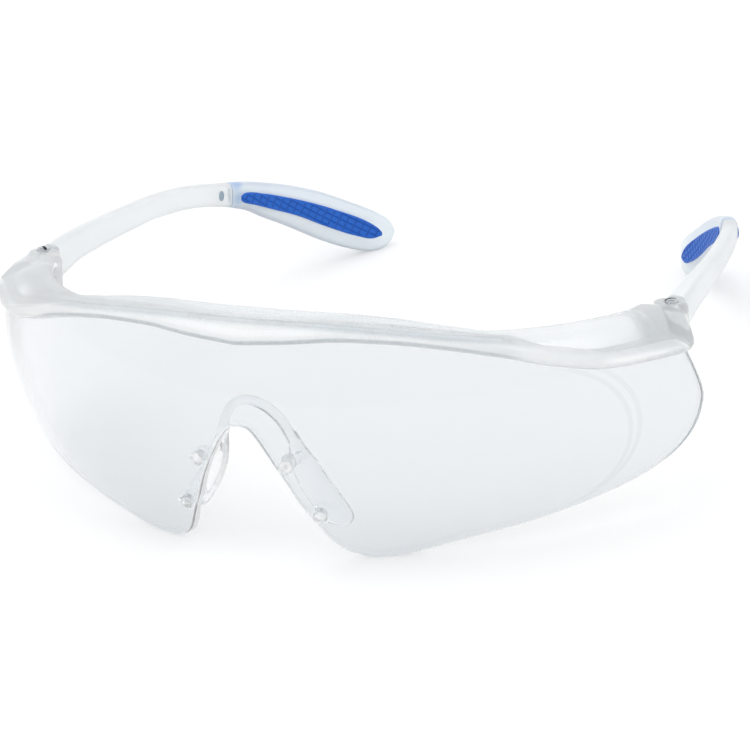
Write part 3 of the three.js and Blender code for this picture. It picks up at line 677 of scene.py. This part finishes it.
def hinge_cuts(side):
    """The room for the temple to swing, the screw's bore and its countersink, as closed pieces."""
    x, y = hinge[0], hinge[1]
    room, far = NECK_HALF_WIDTH + 2 * HINGE_GAP, 3 * EAR_RADIUS
    wide = room + SWING_EXTRA
    under, over = EAR_BOTTOM - 5, EAR_TOP + 5
    low, high = EAR_BOTTOM + EAR_THICKNESS, EAR_TOP - EAR_THICKNESS

    def cut(name, outline, low, high):
        return prism(name, np.asarray(outline) * (side, 1), low, high)

    swing = [(x + far, y), (x + far, y + far), (x - far, y + far), (x - far, y - wide), (x, y - wide)]
    swing.append((x, y))
    behind = cut("behind", swing, under, over)
    combine(behind, "DIFFERENCE", cut("ears", circle(x, y, EAR_RADIUS), under - 1, over + 1))
    yield behind
    neck = [(x + room, y), (x + room, y + far), (x - far, y + far), (x - far, y - room), (x, y - room)]
    yield cut("neck_room", neck, low, high)
    yield cut("knuckle_room", circle(x, y, KNUCKLE_RADIUS + FIT), low, high)
    yield cut("bore", circle(x, y, SCREW_RADIUS + FIT, 48), under, over)
    seat = EAR_TOP - SCREW_HEAD_HEIGHT / 2
    yield cut("seat", circle(x, y, SCREW_HEAD_RADIUS + FIT, 64), seat, over)


# The same polycarbonate. The mould is spark-eroded to a fine stipple over the middle, satin on the sloping
# tops of the ends and polished on their front faces. The stipple is drawn coarser, at 0.45 mm, to show.
CURVE_SPAN = 0.08  # metres from 0 to 1 on the curve nodes
CURVE_SHIFT = (0, 0.08, 0)  # brings the bar's depth above 0
# Lines of painted shade along the front lip and the shelf's lip: column of the section, axis it is placed
# on, half width and end in metres.
FRONT_LIP = (12, 2, 0.00035, 0.046)
SHELF_LIP = (32, 1, 0.0003, 0.042)

bar_finish, tree = new_finish("stippled_clear_polycarbonate")
coordinates = add_node(tree, "TexCoord")
place = coordinates.outputs["Object"]
position = add_node(tree, "SeparateXYZ", vector=place)
distance = add_node(tree, "Math", "ABSOLUTE", position.outputs["X"])
across_share = add_node(tree, "Math", "DIVIDE", distance, CURVE_SPAN)
facing = add_node(tree, "SeparateXYZ", vector=coordinates.outputs["Normal"])


def line_along(column, axis):
    """A line's place on one axis in metres, by its distance from the middle, from the bar's sections."""
    u = np.linspace(0, 0.6, 13)
    out, up = rounded(visor_section(u))[:, column].T
    line = to_row(front(u * LENS_HALF_ARC, out, up))
    curve = add_node(tree, "FloatCurve", value=across_share)
    points = curve.mapping.curves[0].points
    places = np.stack([line[:, 0], line[:, axis] + CURVE_SHIFT[axis]], -1) / CURVE_SPAN
    for x, y in places[1:-1]:
        points.new(x, y)
    points[0].location, points[-1].location = places[0], places[-1]
    curve.mapping.update()
    metres = add_node(tree, "Math", "MULTIPLY", curve, CURVE_SPAN)
    return add_node(tree, "Math", "SUBTRACT", metres, CURVE_SHIFT[axis])


def painted_shade_line(where, column, axis, half_width, end):
    """1 on a fine line of painted shade along the bar, fading over 0.3 mm beside it and 6 mm past its end.
    """
    apart = add_node(tree, "Math", "SUBTRACT", position.outputs[axis], line_along(column, axis))
    away = add_node(tree, "Math", "ABSOLUTE", apart)
    near = add_node(tree, "MapRange", SMOOTH, away, half_width - 0.00015, half_width + 0.00015, 1.0, 0.0)
    before_end = add_node(tree, "MapRange", SMOOTH, distance, end, end + 0.006, 1.0, 0.0)
    line = add_node(tree, "Math", "MULTIPLY", near, before_end)
    return add_node(tree, "Math", "MULTIPLY", line, where)


middle = add_node(tree, "MapRange", SMOOTH, distance, 0.034, 0.056, 1.0, 0.0)
ends = add_node(tree, "MapRange", SMOOTH, distance, 0.046, 0.066)
sloping = add_node(tree, "MapRange", SMOOTH, facing.outputs["Z"], 0.3, 0.75)
flat = add_node(tree, "MapRange", SMOOTH, facing.outputs["Z"], 0.5, 0.85)
upward = add_node(tree, "MapRange", SMOOTH, facing.outputs["Z"], 0.2, 0.5)
forward = add_node(tree, "MapRange", SMOOTH, facing.outputs["Y"], -0.35, -0.1, 1.0, 0.0)
# Faces turned to the front are made less clear and milkier, so they read lighter: painted light.
front_painted_light = add_node(tree, "MapRange", SMOOTH, facing.outputs["Y"], -0.8, -0.4, 0.16, 0.0)
end_top = add_node(tree, "Math", "MULTIPLY", sloping, ends)
painted_shade_tops = add_node(tree, "Math", "MAXIMUM", end_top, flat)
satin = add_node(tree, "Math", "MAXIMUM", middle, end_top)
gloss = add_node(tree, "MapRange", SMOOTH, satin, 0, 1, 0.14, 0.25)
clear = add_node(tree, "MapRange", SMOOTH, middle, 0, 1, 0.74, 0.66)
clearness = add_node(tree, "Math", "SUBTRACT", clear, front_painted_light)
stipple = add_node(tree, "TexVoronoi", vector=place, scale=2200.0)
pits = add_node(tree, "Math", "MULTIPLY", stipple.outputs["Distance"], middle)
relief = add_node(tree, "Bump", height=pits, strength=0.35, distance=0.0002)
# Flat tops, and the sloping tops of the ends, are painted a shade darker: painted shade.
painted_shade_tone = add_node(tree, "Mix", COLOURS, painted_shade_tops, in_6="#ffffff", in_7="#ebeef0")
speck = add_node(tree, "TexNoise", vector=place, scale=1500.0, detail=3.0)
# The lines are painted grey with a fine speckle: painted shade along the bar's edges.
grey = add_node(tree, "Mix", COLOURS, speck, in_6="#c2c8cb", in_7="#e6eaec")
lip_shade = add_node(tree, "Math", "MAXIMUM", painted_shade_line(forward, *FRONT_LIP), painted_shade_line(upward, *SHELF_LIP))
shade_lined = add_node(tree, "Mix", COLOURS, lip_shade, in_6=painted_shade_tone.outputs[2], in_7=grey.outputs[2])
body = add_node(
    tree, "BsdfPrincipled", base_color=shade_lined.outputs[2], roughness=gloss, ior=1.585,
    transmission_weight=clearness, normal=relief,
)
finish_clear(tree, body, "#e3e9ed")

brow = brow_blank((bar_finish,))
tab = hinge_tab((bar_finish,))
combine(brow, "UNION", mirrored(tab, "right_tab"), tab)
soften(brow, BAR_GRAIN, BAR_PASSES)
combine(brow, "DIFFERENCE", outward(lens_solid("lens_slot", LENS_SLOT_GAP, LENS_SLOT_GAP, *SLOT_GRID)))
for side in (-1, 1):
    combine(brow, "DIFFERENCE", *hinge_cuts(side))
shade(brow, 32)
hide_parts("brow_bar")
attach(brow, "front")

# ---- Temples -----------------------------------------------------------------
# A frosted polycarbonate arm that starts in a round knuckle between the hinge ears, curves in towards the
# ear and ends in a flat tongue inside the tip sleeve.

TEMPLE_REACH = 106
TIP_INSET = 32.2
TEMPLE_TOE_IN = 4
SLEEVE_START = 0.63
TANG_LENGTH = 12
NECK_LENGTH = EAR_RADIUS + 2.6
TONGUE_HALF_HEIGHT = 1.5
TONGUE_HALF_WIDTH = 0.8

temple_top = through(
    (0.015, 14.1), (0.06, 14.6), (0.115, 15.2), (0.266, 16), (0.342, 16.3), (0.41, 16.5), (0.474, 16.4),
    (0.53, 16), (0.593, 15.1), (0.675, 14), (0.751, 12.2), (0.842, 9), (0.926, 4.5), (0.965, 2),
    (0.985, 0.4), (0.995, -1), (1, -2.4),
)
temple_low = through(
    (0.015, 6.4), (0.04, 7.1), (0.074, 8.1), (0.112, 9), (0.189, 9.8), (0.335, 10.9), (0.405, 11.4),
    (0.471, 11.4), (0.53, 11), (0.59, 10.1), (0.674, 7.6), (0.723, 4.9), (0.773, 2.2), (0.862, -3.2),
    (0.903, -5.3), (0.944, -6.8), (0.966, -7), (0.985, -6.3), (0.995, -5.1), (1, -3.6),
)
arm_half_width = through((0.015, 2.4), (0.12, 2.1), (0.3, 1.6), (0.64, 1.6))
sleeve_half_width = through((0.6, 1.75), (0.7, 2), (0.82, 2.3), (0.94, 2.1), (0.985, 1.5), (1, 0.8))


def middle_line(t):
    """A temple's plan middle at a share of its reach, and its slope: inwards by a cubic plus a line."""
    inward = (TIP_INSET - TEMPLE_TOE_IN) * t**3 + TEMPLE_TOE_IN * t
    slope = (3 * (TIP_INSET - TEMPLE_TOE_IN) * t * t + TEMPLE_TOE_IN) / TEMPLE_REACH
    return np.stack([hinge[0] - inward, hinge[1] + t * TEMPLE_REACH], -1), slope


def temple_rings(t, half_width, low, high, across, rise):
    """Rings of points along the temple, upright and square to its middle line. Across and rise place each
    point from -1 to 1 over the width, and from low to high."""
    middle, slope = middle_line(t)
    length = np.hypot(1, slope)
    outward_way = np.stack([1 / length, slope / length], -1)
    plan = middle[:, None] + outward_way[:, None] * (half_width[:, None] * across)[..., None]
    z = (low + high)[:, None] / 2 + (high - low)[:, None] / 2 * rise
    return np.concatenate([plan, np.broadcast_to(z, plan.shape[:2])[..., None]], -1)


def temple_sections(t, half_width, low, high, squareness, count=64):
    """Squared oval rings along the temple."""
    angle = math.pi * 2 * (np.arange(count) + 0.5) / count
    return temple_rings(t, half_width, low, high, *squared(angle, squareness))


def tongue(clearance, finishes=()):
    """The arm's flat end inside the sleeve, or with a clearance the room for it."""
    t = np.linspace(SLEEVE_START - 0.02, SLEEVE_START + (TANG_LENGTH + clearance) / TEMPLE_REACH, 16)
    centre = (temple_top(t) + temple_low(t)) / 2
    tall = TONGUE_HALF_HEIGHT + clearance
    wide = TONGUE_HALF_WIDTH + clearance + 0 * t
    return skin("tongue", temple_sections(t, wide, centre - tall, centre + tall, 0.4, 32), finishes)


def arm(finishes):
    """The arm, hollowed at its start round the ears, with its neck and knuckle, and bored for the screw."""
    start = 0.6 * EAR_RADIUS / TEMPLE_REACH
    end = SLEEVE_START - FIT / TEMPLE_REACH
    t = np.concatenate([np.linspace(start, 0.12, 24), np.linspace(0.125, end, 90)])
    body = skin("arm", temple_sections(t, arm_half_width(t), temple_low(t), temple_top(t), 0.6), finishes)
    low, high = EAR_BOTTOM + EAR_THICKNESS + FIT, EAR_TOP - EAR_THICKNESS - FIT
    x, y = hinge[0], hinge[1]
    neck_end = y + NECK_LENGTH
    wide = NECK_HALF_WIDTH
    neck = [(x - wide, y), (x + wide, y), (x + wide - 0.3, neck_end), (x - wide - 0.1, neck_end)]
    under, over = EAR_BOTTOM - 5, EAR_TOP + 5
    combine(body, "DIFFERENCE", prism("hollow", circle(x, y, EAR_RADIUS + FIT), under, over))
    combine(body, "UNION", prism("knuckle", circle(x, y, KNUCKLE_RADIUS), low, high, finishes))
    combine(body, "UNION", prism("neck", neck, low, high, finishes), tongue(0, finishes))
    bore = prism("bore", circle(x, y, SCREW_RADIUS + FIT, 48), under, over)
    combine(body, "DIFFERENCE", bore, lock_pin("pin_hole", 0.06, 5))
    return shade(body)


PIN_PLACE = SLEEVE_START - 0.031
PIN_HALF_LENGTH = 0.8
PIN_HALF_HEIGHT = 1.1


def lock_pin(name, clearance, proud, finishes=()):
    """A small oval plug square through the arm, its ends slightly crowned."""
    t = PIN_PLACE
    middle, slope = middle_line(t)
    out = np.array([1, slope, 0]) / math.hypot(1, slope)
    along = np.array([-out[1], out[0], 0]) * (PIN_HALF_LENGTH + clearance)
    centre = np.array([*middle, (temple_top(t) + temple_low(t)) / 2])
    reach = arm_half_width(t) + proud
    angle = turns(48)
    oval = np.cos(angle)[:, None] * along + np.sin(angle)[:, None] * [0, 0, PIN_HALF_HEIGHT + clearance]
    crown = np.array([(-1, 0.6), (-0.985, 0.9), (-0.96, 1), (0.96, 1), (0.985, 0.9), (1, 0.6)])
    rings = centre + crown[:, 0, None, None] * reach * out + crown[:, 1, None, None] * oval
    return skin(name, rings, finishes)


def fit_pair(piece, part, cad, body="temple"):
    """Names the left piece, makes the right one, and puts each in place of its CAD node on its own body."""
    piece.name = f"left_{part}"
    for side, one in (("left", piece), ("right", mirrored(piece, f"right_{part}"))):
        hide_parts(f"{cad}_{side}")
        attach(one, f"{side}_{body}" if body == "temple" else body)


def frosted_finish(name, pale, deep, transmission, blue_at=()):
    """Frosted plastic: light goes in and scatters, so it reads as milky with soft highlights. The rubber
    inside shows through faintly round some places, the same on the left and the right."""
    finish, tree, place, etch = grained(name, 1800.0, 3.0, 0.12, 0.0001)
    cloud = add_node(tree, "TexNoise", vector=place, scale=60.0, detail=2.0)
    colour = add_node(tree, "Mix", COLOURS, cloud, in_6=pale, in_7=deep).outputs[2]
    either_side = add_node(tree, "VectorMath", "ABSOLUTE", place)
    for spot in blue_at:
        apart = add_node(tree, "VectorMath", "DISTANCE", either_side, spot)
        near = add_node(tree, "MapRange", SMOOTH, apart.outputs["Value"], 0.0013, 0.0028, 0.6, 0.0)
        colour = add_node(tree, "Mix", COLOURS, near, in_6=colour, in_7="#8ab8ee").outputs[2]
    body = add_node(
        tree, "BsdfPrincipled", base_color=colour, roughness=0.3, ior=1.585,
        transmission_weight=transmission, normal=etch,
    )
    finish_clear(tree, body, "#dbe2e6")
    return finish


frosted = frosted_finish("frosted_polycarbonate", "#fcfdfe", "#f3f7f8", 0.6)
fit_pair(arm((frosted,)), "arm", "temple")

# ---- Tip sleeves -------------------------------------------------------------
# A softer frosted sleeve moulded over the end of each arm. It drops behind the ear to a rounded tip and has
# an opening right through it for the rubber grip.

TIP_ROUND = 0.06
GRIP_START = 0.652
GRIP_END = 0.972
grip_top = through(
    (GRIP_START, 11.5), (0.663, 12), (0.715, 10.8), (0.757, 9.4), (0.812, 7.3), (0.856, 5.3), (0.887, 3.7),
    (0.918, 2), (0.945, 0.2), (0.964, -1.5), (GRIP_END, -2.6),
)
grip_low = through(
    (GRIP_START, 10.4), (0.66, 9.8), (0.69, 8.7), (0.721, 7.4), (0.789, 4.5), (0.855, 0.8), (0.918, -2.5),
    (0.955, -3.8), (GRIP_END, -3.5),
)


def grip_opening():
    """The slot right through the sleeve, on the grip's outline."""
    t = np.linspace(GRIP_START - 0.0006, GRIP_END + 0.0006, 90)
    return skin("opening", temple_sections(t, 7 + 0 * t, grip_low(t) + 0.03, grip_top(t) - 0.03, 0.3, 48))


rubber_ends = [to_row([*middle_line(GRIP_START - 0.008)[0], z]).tolist() for z in (11, 14.3)]
soft_frost = frosted_finish("frosted_soft_sleeve", "#f9feff", "#eff9fb", 0.45, rubber_ends)
t = np.linspace(SLEEVE_START, 1 - TIP_ROUND, 70)
t = np.concatenate([t, 1 - TIP_ROUND * (1 - np.sin(np.linspace(0, math.pi / 2, 26)[1:]))])
rings = temple_sections(t, sleeve_half_width(t), temple_low(t), temple_top(t), 0.65)
sleeve = skin("sleeve", rings, (soft_frost,))
combine(sleeve, "DIFFERENCE", grip_opening(), tongue(0.1))
shade(sleeve)
fit_pair(sleeve, "sleeve", "tip_sleeve")

# ---- Rubber grips ------------------------------------------------------------
# A blue thermoplastic rubber leaf set through each sleeve, with a moulded diamond tread on both faces.

GRIP_PROUD = 0.28
TREAD_PITCH = 2.2  # a little coarser than the real tread, to show
TREAD_DEPTH = 0.2
TREAD_SLANTS = (1.5, -0.6)
GRIP_EDGE_ROUND = 0.45


def grip(finishes):
    """A leaf-shaped plug through the sleeve: each face is a grid along and up the leaf that stands proud of
    the sleeve, eased at its edge, with two slanted sets of grooves that cross as diamonds."""
    t = GRIP_START + (GRIP_END - GRIP_START) * (1 - np.cos(np.linspace(0, math.pi, 301))) / 2
    up = np.linspace(-1, 1, 61)
    rise = np.concatenate([up, up[::-1]])
    face = np.repeat([1.0, -1.0], len(up))
    tall = (grip_top(t) - grip_low(t))[:, None] / 2
    height = (grip_low(t) + grip_top(t))[:, None] / 2 + tall * rise
    along = t[:, None] * TEMPLE_REACH
    ridge = [abs((along + slant * height) / TREAD_PITCH % 1 - 0.5) * 2 for slant in TREAD_SLANTS]
    groove = np.clip((np.maximum(*ridge) - 0.78) / 0.14, 0, 1)
    from_edge = np.clip((1 - abs(rise)) * tall / GRIP_EDGE_ROUND, 0, 1)
    eased = 1 - np.sqrt(from_edge * (2 - from_edge))
    sink = groove * (from_edge > 0.99) * TREAD_DEPTH + eased * GRIP_PROUD
    wide = sleeve_half_width(t)[:, None] + GRIP_PROUD - sink
    rings = temple_rings(t, np.ones(len(t)), grip_low(t), grip_top(t), wide * face, rise)
    # Faces in the grooves take the darker blue: painted shade in the grooves.
    dark = (groove[:-1] > 0.5) & (from_edge[:-1] > 0.99)
    return skin("grip", rings, finishes, dark.astype(int))


def rubber_finish(name, pale, deep):
    """Matt blue rubber with a fine skin and slightly uneven colour."""
    finish, tree, place, bump = grained(name, 3000.0, 2.0, 0.2, 0.0001)
    patch = add_node(tree, "TexNoise", vector=place, scale=160.0, detail=2.0)
    blue = add_node(tree, "Mix", COLOURS, patch, in_6=deep, in_7=pale).outputs[2]
    body = add_node(tree, "BsdfPrincipled", base_color=blue, roughness=0.55, ior=1.5, normal=bump)
    add_node(tree, "OutputMaterial", surface=body)
    return finish


rubber = rubber_finish("blue_thermoplastic_rubber", "#0b62c6", "#0758ba")
# A darker blue for the groove faces: painted shade.
groove_shade_rubber = rubber_finish("blue_rubber_in_the_grooves", "#0658b6", "#0550ac")
leaf = grip((rubber, groove_shade_rubber))
combine(leaf, "DIFFERENCE", tongue(0.1))
fit_pair(shade(leaf, 50), "grip", "grip")

# The plug's ends are a paler, harder plastic, a little see-through.
plug, tree = new_finish("pale_blue_plug")
blue = "#a9bccb"
body = add_node(tree, "BsdfPrincipled", base_color=blue, roughness=0.4, ior=1.5, transmission_weight=0.3)
add_node(tree, "OutputMaterial", surface=body)
fit_pair(shade(lock_pin("pin", 0, 0.04, (plug,)), 50), "pin", "lock_pin")

# ---- Hinge screws ------------------------------------------------------------
# A slotted stainless screw down through each hinge: a low domed head set in its seat, and a plain shank. It
# is turned and polished, and its slot is painted near black as painted shade.

SCREW_LIFT = 0.3
SLOT_WIDTH = 0.6
SLOT_TURN = 0.6


def screw(finishes):
    """A turned profile of shank, rounded head rim and quarter-ellipse dome, cut by a slot."""
    seat = EAR_TOP - SCREW_HEAD_HEIGHT / 2 + SCREW_LIFT
    top = seat + SCREW_HEAD_HEIGHT - 0.02
    end = EAR_BOTTOM + SCREW_LIFT
    dome = np.linspace(0, math.pi / 2, 8)
    profile = [(0.02, end), (SCREW_RADIUS - 0.3, end), (SCREW_RADIUS, end + 0.4), (SCREW_RADIUS, seat)]
    profile += [(SCREW_HEAD_RADIUS - 0.08, seat), (SCREW_HEAD_RADIUS, seat + 0.08)]
    profile += [(SCREW_HEAD_RADIUS * math.cos(a) + 0.001, seat + 0.42 + 0.46 * math.sin(a)) for a in dome]
    body = turned("screw", profile, np.array([hinge[0], hinge[1], 0.0]), (0, 0, 1), 64, finishes)
    way = np.array([math.cos(SLOT_TURN), math.sin(SLOT_TURN)])
    across = np.array([-way[1], way[0]])
    half = SLOT_WIDTH / 2
    slot = [hinge[:2] + way * a + across * b for a, b in ((-3, -half), (3, -half), (3, half), (-3, half))]
    combine(body, "DIFFERENCE", prism("slot", slot, top - 0.5, top + 1, (finishes[1],)))
    return shade(body, 40)


steel, tree = new_finish("turned_stainless_steel")
place = add_node(tree, "TexCoord").outputs["Object"]
scratch = add_node(tree, "TexNoise", vector=place, scale=2500.0, detail=2.0)
gloss = add_node(tree, "MapRange", SMOOTH, scratch, 0.3, 0.7, 0.15, 0.35)
body = add_node(tree, "BsdfPrincipled", base_color="#c9ccd0", metallic=1.0, roughness=gloss)
add_node(tree, "OutputMaterial", surface=body)

# The slot's faces are painted near black: painted shade in the slot.
slot_shade, tree = new_finish("darkened_screw_slot")
body = add_node(tree, "BsdfPrincipled", base_color="#2c2f33", metallic=0.6, roughness=0.5)
add_node(tree, "OutputMaterial", surface=body)
fit_pair(screw((steel, slot_shade)), "screw", "hinge_screw", "front")

# ---- Nose bridge -------------------------------------------------------------
# One soft clear elastomer moulding: a strap over the nose, a pad down each side, and four pegs snapped
# through the lens.

NOSE_GRAIN = 0.15  # size of the steps it is filled with before smoothing
NOSE_PASSES = 26
PAD_HALF_WIDTH = 3.1
PAD_HALF_THICKNESS = 0.95
PAD_FACE = np.array([0.9, 0.38, 0.2]) / np.linalg.norm([0.9, 0.38, 0.2])  # the way across a pad
STRAP_HALF_WIDTH = 0.85
STRAP_HALF_THICKNESS = 1.1
PEG_RADIUS = 0.9
PEG_HEAD_RADIUS = 1.5
PEG_PLAY = 0.3
POST_RADIUS = 1.15
POST_ROOTS = ((0.1078, 8.6, 0.344), (0.1639, 6.2, 0.662))  # where each peg's post meets the pad


def behind_lens(arc_share, behind, drop_share):
    """The point at a share of the half arc and of the drop, some millimetres behind the lens's front."""
    return front(np.array(arc_share * LENS_HALF_ARC), -behind, np.array(-drop_share * LENS_DROP))


def curve_through(points, count):
    """Points on a Catmull-Rom curve, and its unit tangents."""
    points = np.array(points, float)
    padded = np.concatenate([[2 * points[0] - points[1]], points, [2 * points[-1] - points[-2]]])
    place = np.linspace(0, len(points) - 1, count)
    i = np.minimum(place.astype(int), len(points) - 2)
    t = (place - i)[:, None]
    p0, p1, p2, p3 = (padded[i + k] for k in range(4))
    bend, twist = 2 * p0 - 5 * p1 + 4 * p2 - p3, 3 * p1 - p0 - 3 * p2 + p3
    line = 0.5 * (2 * p1 + (p2 - p0) * t + bend * t**2 + twist * t**3)
    way = np.gradient(line, axis=0)
    return line, way / np.linalg.norm(way, axis=1)[:, None]


def nose_pad(side):
    """A soft oval paddle along a curve down the side of the nose."""
    points = [
        (0.0857, 8.7, 0.185), (0.1017, 8.8, 0.331), (0.133, 7.9, 0.513), (0.1796, 5.9, 0.695),
        (0.2028, 4.7, 0.775),
    ]
    line, way = curve_through([behind_lens(*p) for p in points], 40)
    width = through((0, 0.3), (0.15, 0.46), (0.4, 0.88), (0.7, 1), (0.88, 0.8), (1, 0.35))
    width = width(np.linspace(0, 1, 40))[:, None]
    thick = np.cross(PAD_FACE, way)
    thick /= np.linalg.norm(thick, axis=1)[:, None]
    angle = turns(40)
    across = (np.cos(angle) * PAD_HALF_WIDTH * width)[..., None]
    through_pad = (np.sin(angle) * PAD_HALF_THICKNESS * (0.6 + 0.4 * width))[..., None]
    rings = line[:, None] + PAD_FACE * across + thick[:, None] * through_pad
    return skin("pad", rings * (side, 1, 1))


def nose_strap():
    """A flat rounded strap arched over the nose between the two pads."""
    half = [(0.0911, 8.7, 0.258), (0.0686, 7.8, 0.113), (0.0377, 6.5, 0.013)]
    points = [behind_lens(-a, b, d) for a, b, d in half] + [behind_lens(0, 6, -0.023)]
    points += [behind_lens(a, b, d) for a, b, d in half[::-1]]
    line, way = curve_through(points, 90)
    side = np.cross(way, [0, 1, 0])
    side /= np.linalg.norm(side, axis=1)[:, None]
    depth = np.cross(way, side)
    across, rise = squared(turns(32), 0.7)
    rings = line[:, None] + side[:, None] * (across * STRAP_HALF_WIDTH)[:, None]
    return skin("strap", rings + depth[:, None] * (rise * STRAP_HALF_THICKNESS)[:, None])


nose = nose_strap()
nose.name = "nose_piece"
for side in (-1, 1):
    combine(nose, "UNION", nose_pad(side))
    for peg, root in zip(PEGS, POST_ROOTS):
        base, inward = through_lens(*peg, side)
        back = LENS_THICKNESS + PEG_PLAY
        stud = [
            (0.02, -1.2), (1, -1.15), (PEG_HEAD_RADIUS, -0.7), (PEG_HEAD_RADIUS, -PEG_PLAY),
            (PEG_RADIUS, -PEG_PLAY), (PEG_RADIUS, back), (PEG_HEAD_RADIUS, back),
            (PEG_HEAD_RADIUS, back + 1), (0.02, back + 1),
        ]
        combine(nose, "UNION", turned("stud", stud, base, inward, 40))
        start = base + inward * (back + 0.5)
        end = behind_lens(*root) * (side, 1, 1)
        length = np.linalg.norm(end - start)
        post = [(0.02, 0), (POST_RADIUS, 0), (POST_RADIUS, length), (0.02, length)]
        combine(nose, "UNION", turned("post", post, start, end - start, 40))
soften(nose, NOSE_GRAIN, NOSE_PASSES)
nose.data.shade_smooth()

# Clear soft elastomer, IOR 1.41: glassy, with a slightly tacky skin that softens its highlights.
elastomer, tree, _, relief = grained("clear_soft_elastomer", 700.0, 2.0, 0.05, 0.0003)
body = add_node(
    tree, "BsdfPrincipled", base_color="#ffffff", roughness=0.12, ior=1.41,
    transmission_weight=0.82, normal=relief,
)
finish_clear(tree, body, "#f2f5f7")
nose.data.materials.clear()
nose.data.materials.append(elastomer)
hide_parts("nose_bridge")
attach(nose, "front")

[[list(map(float, corner)) for corner in box] for box in (cad_box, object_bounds())]
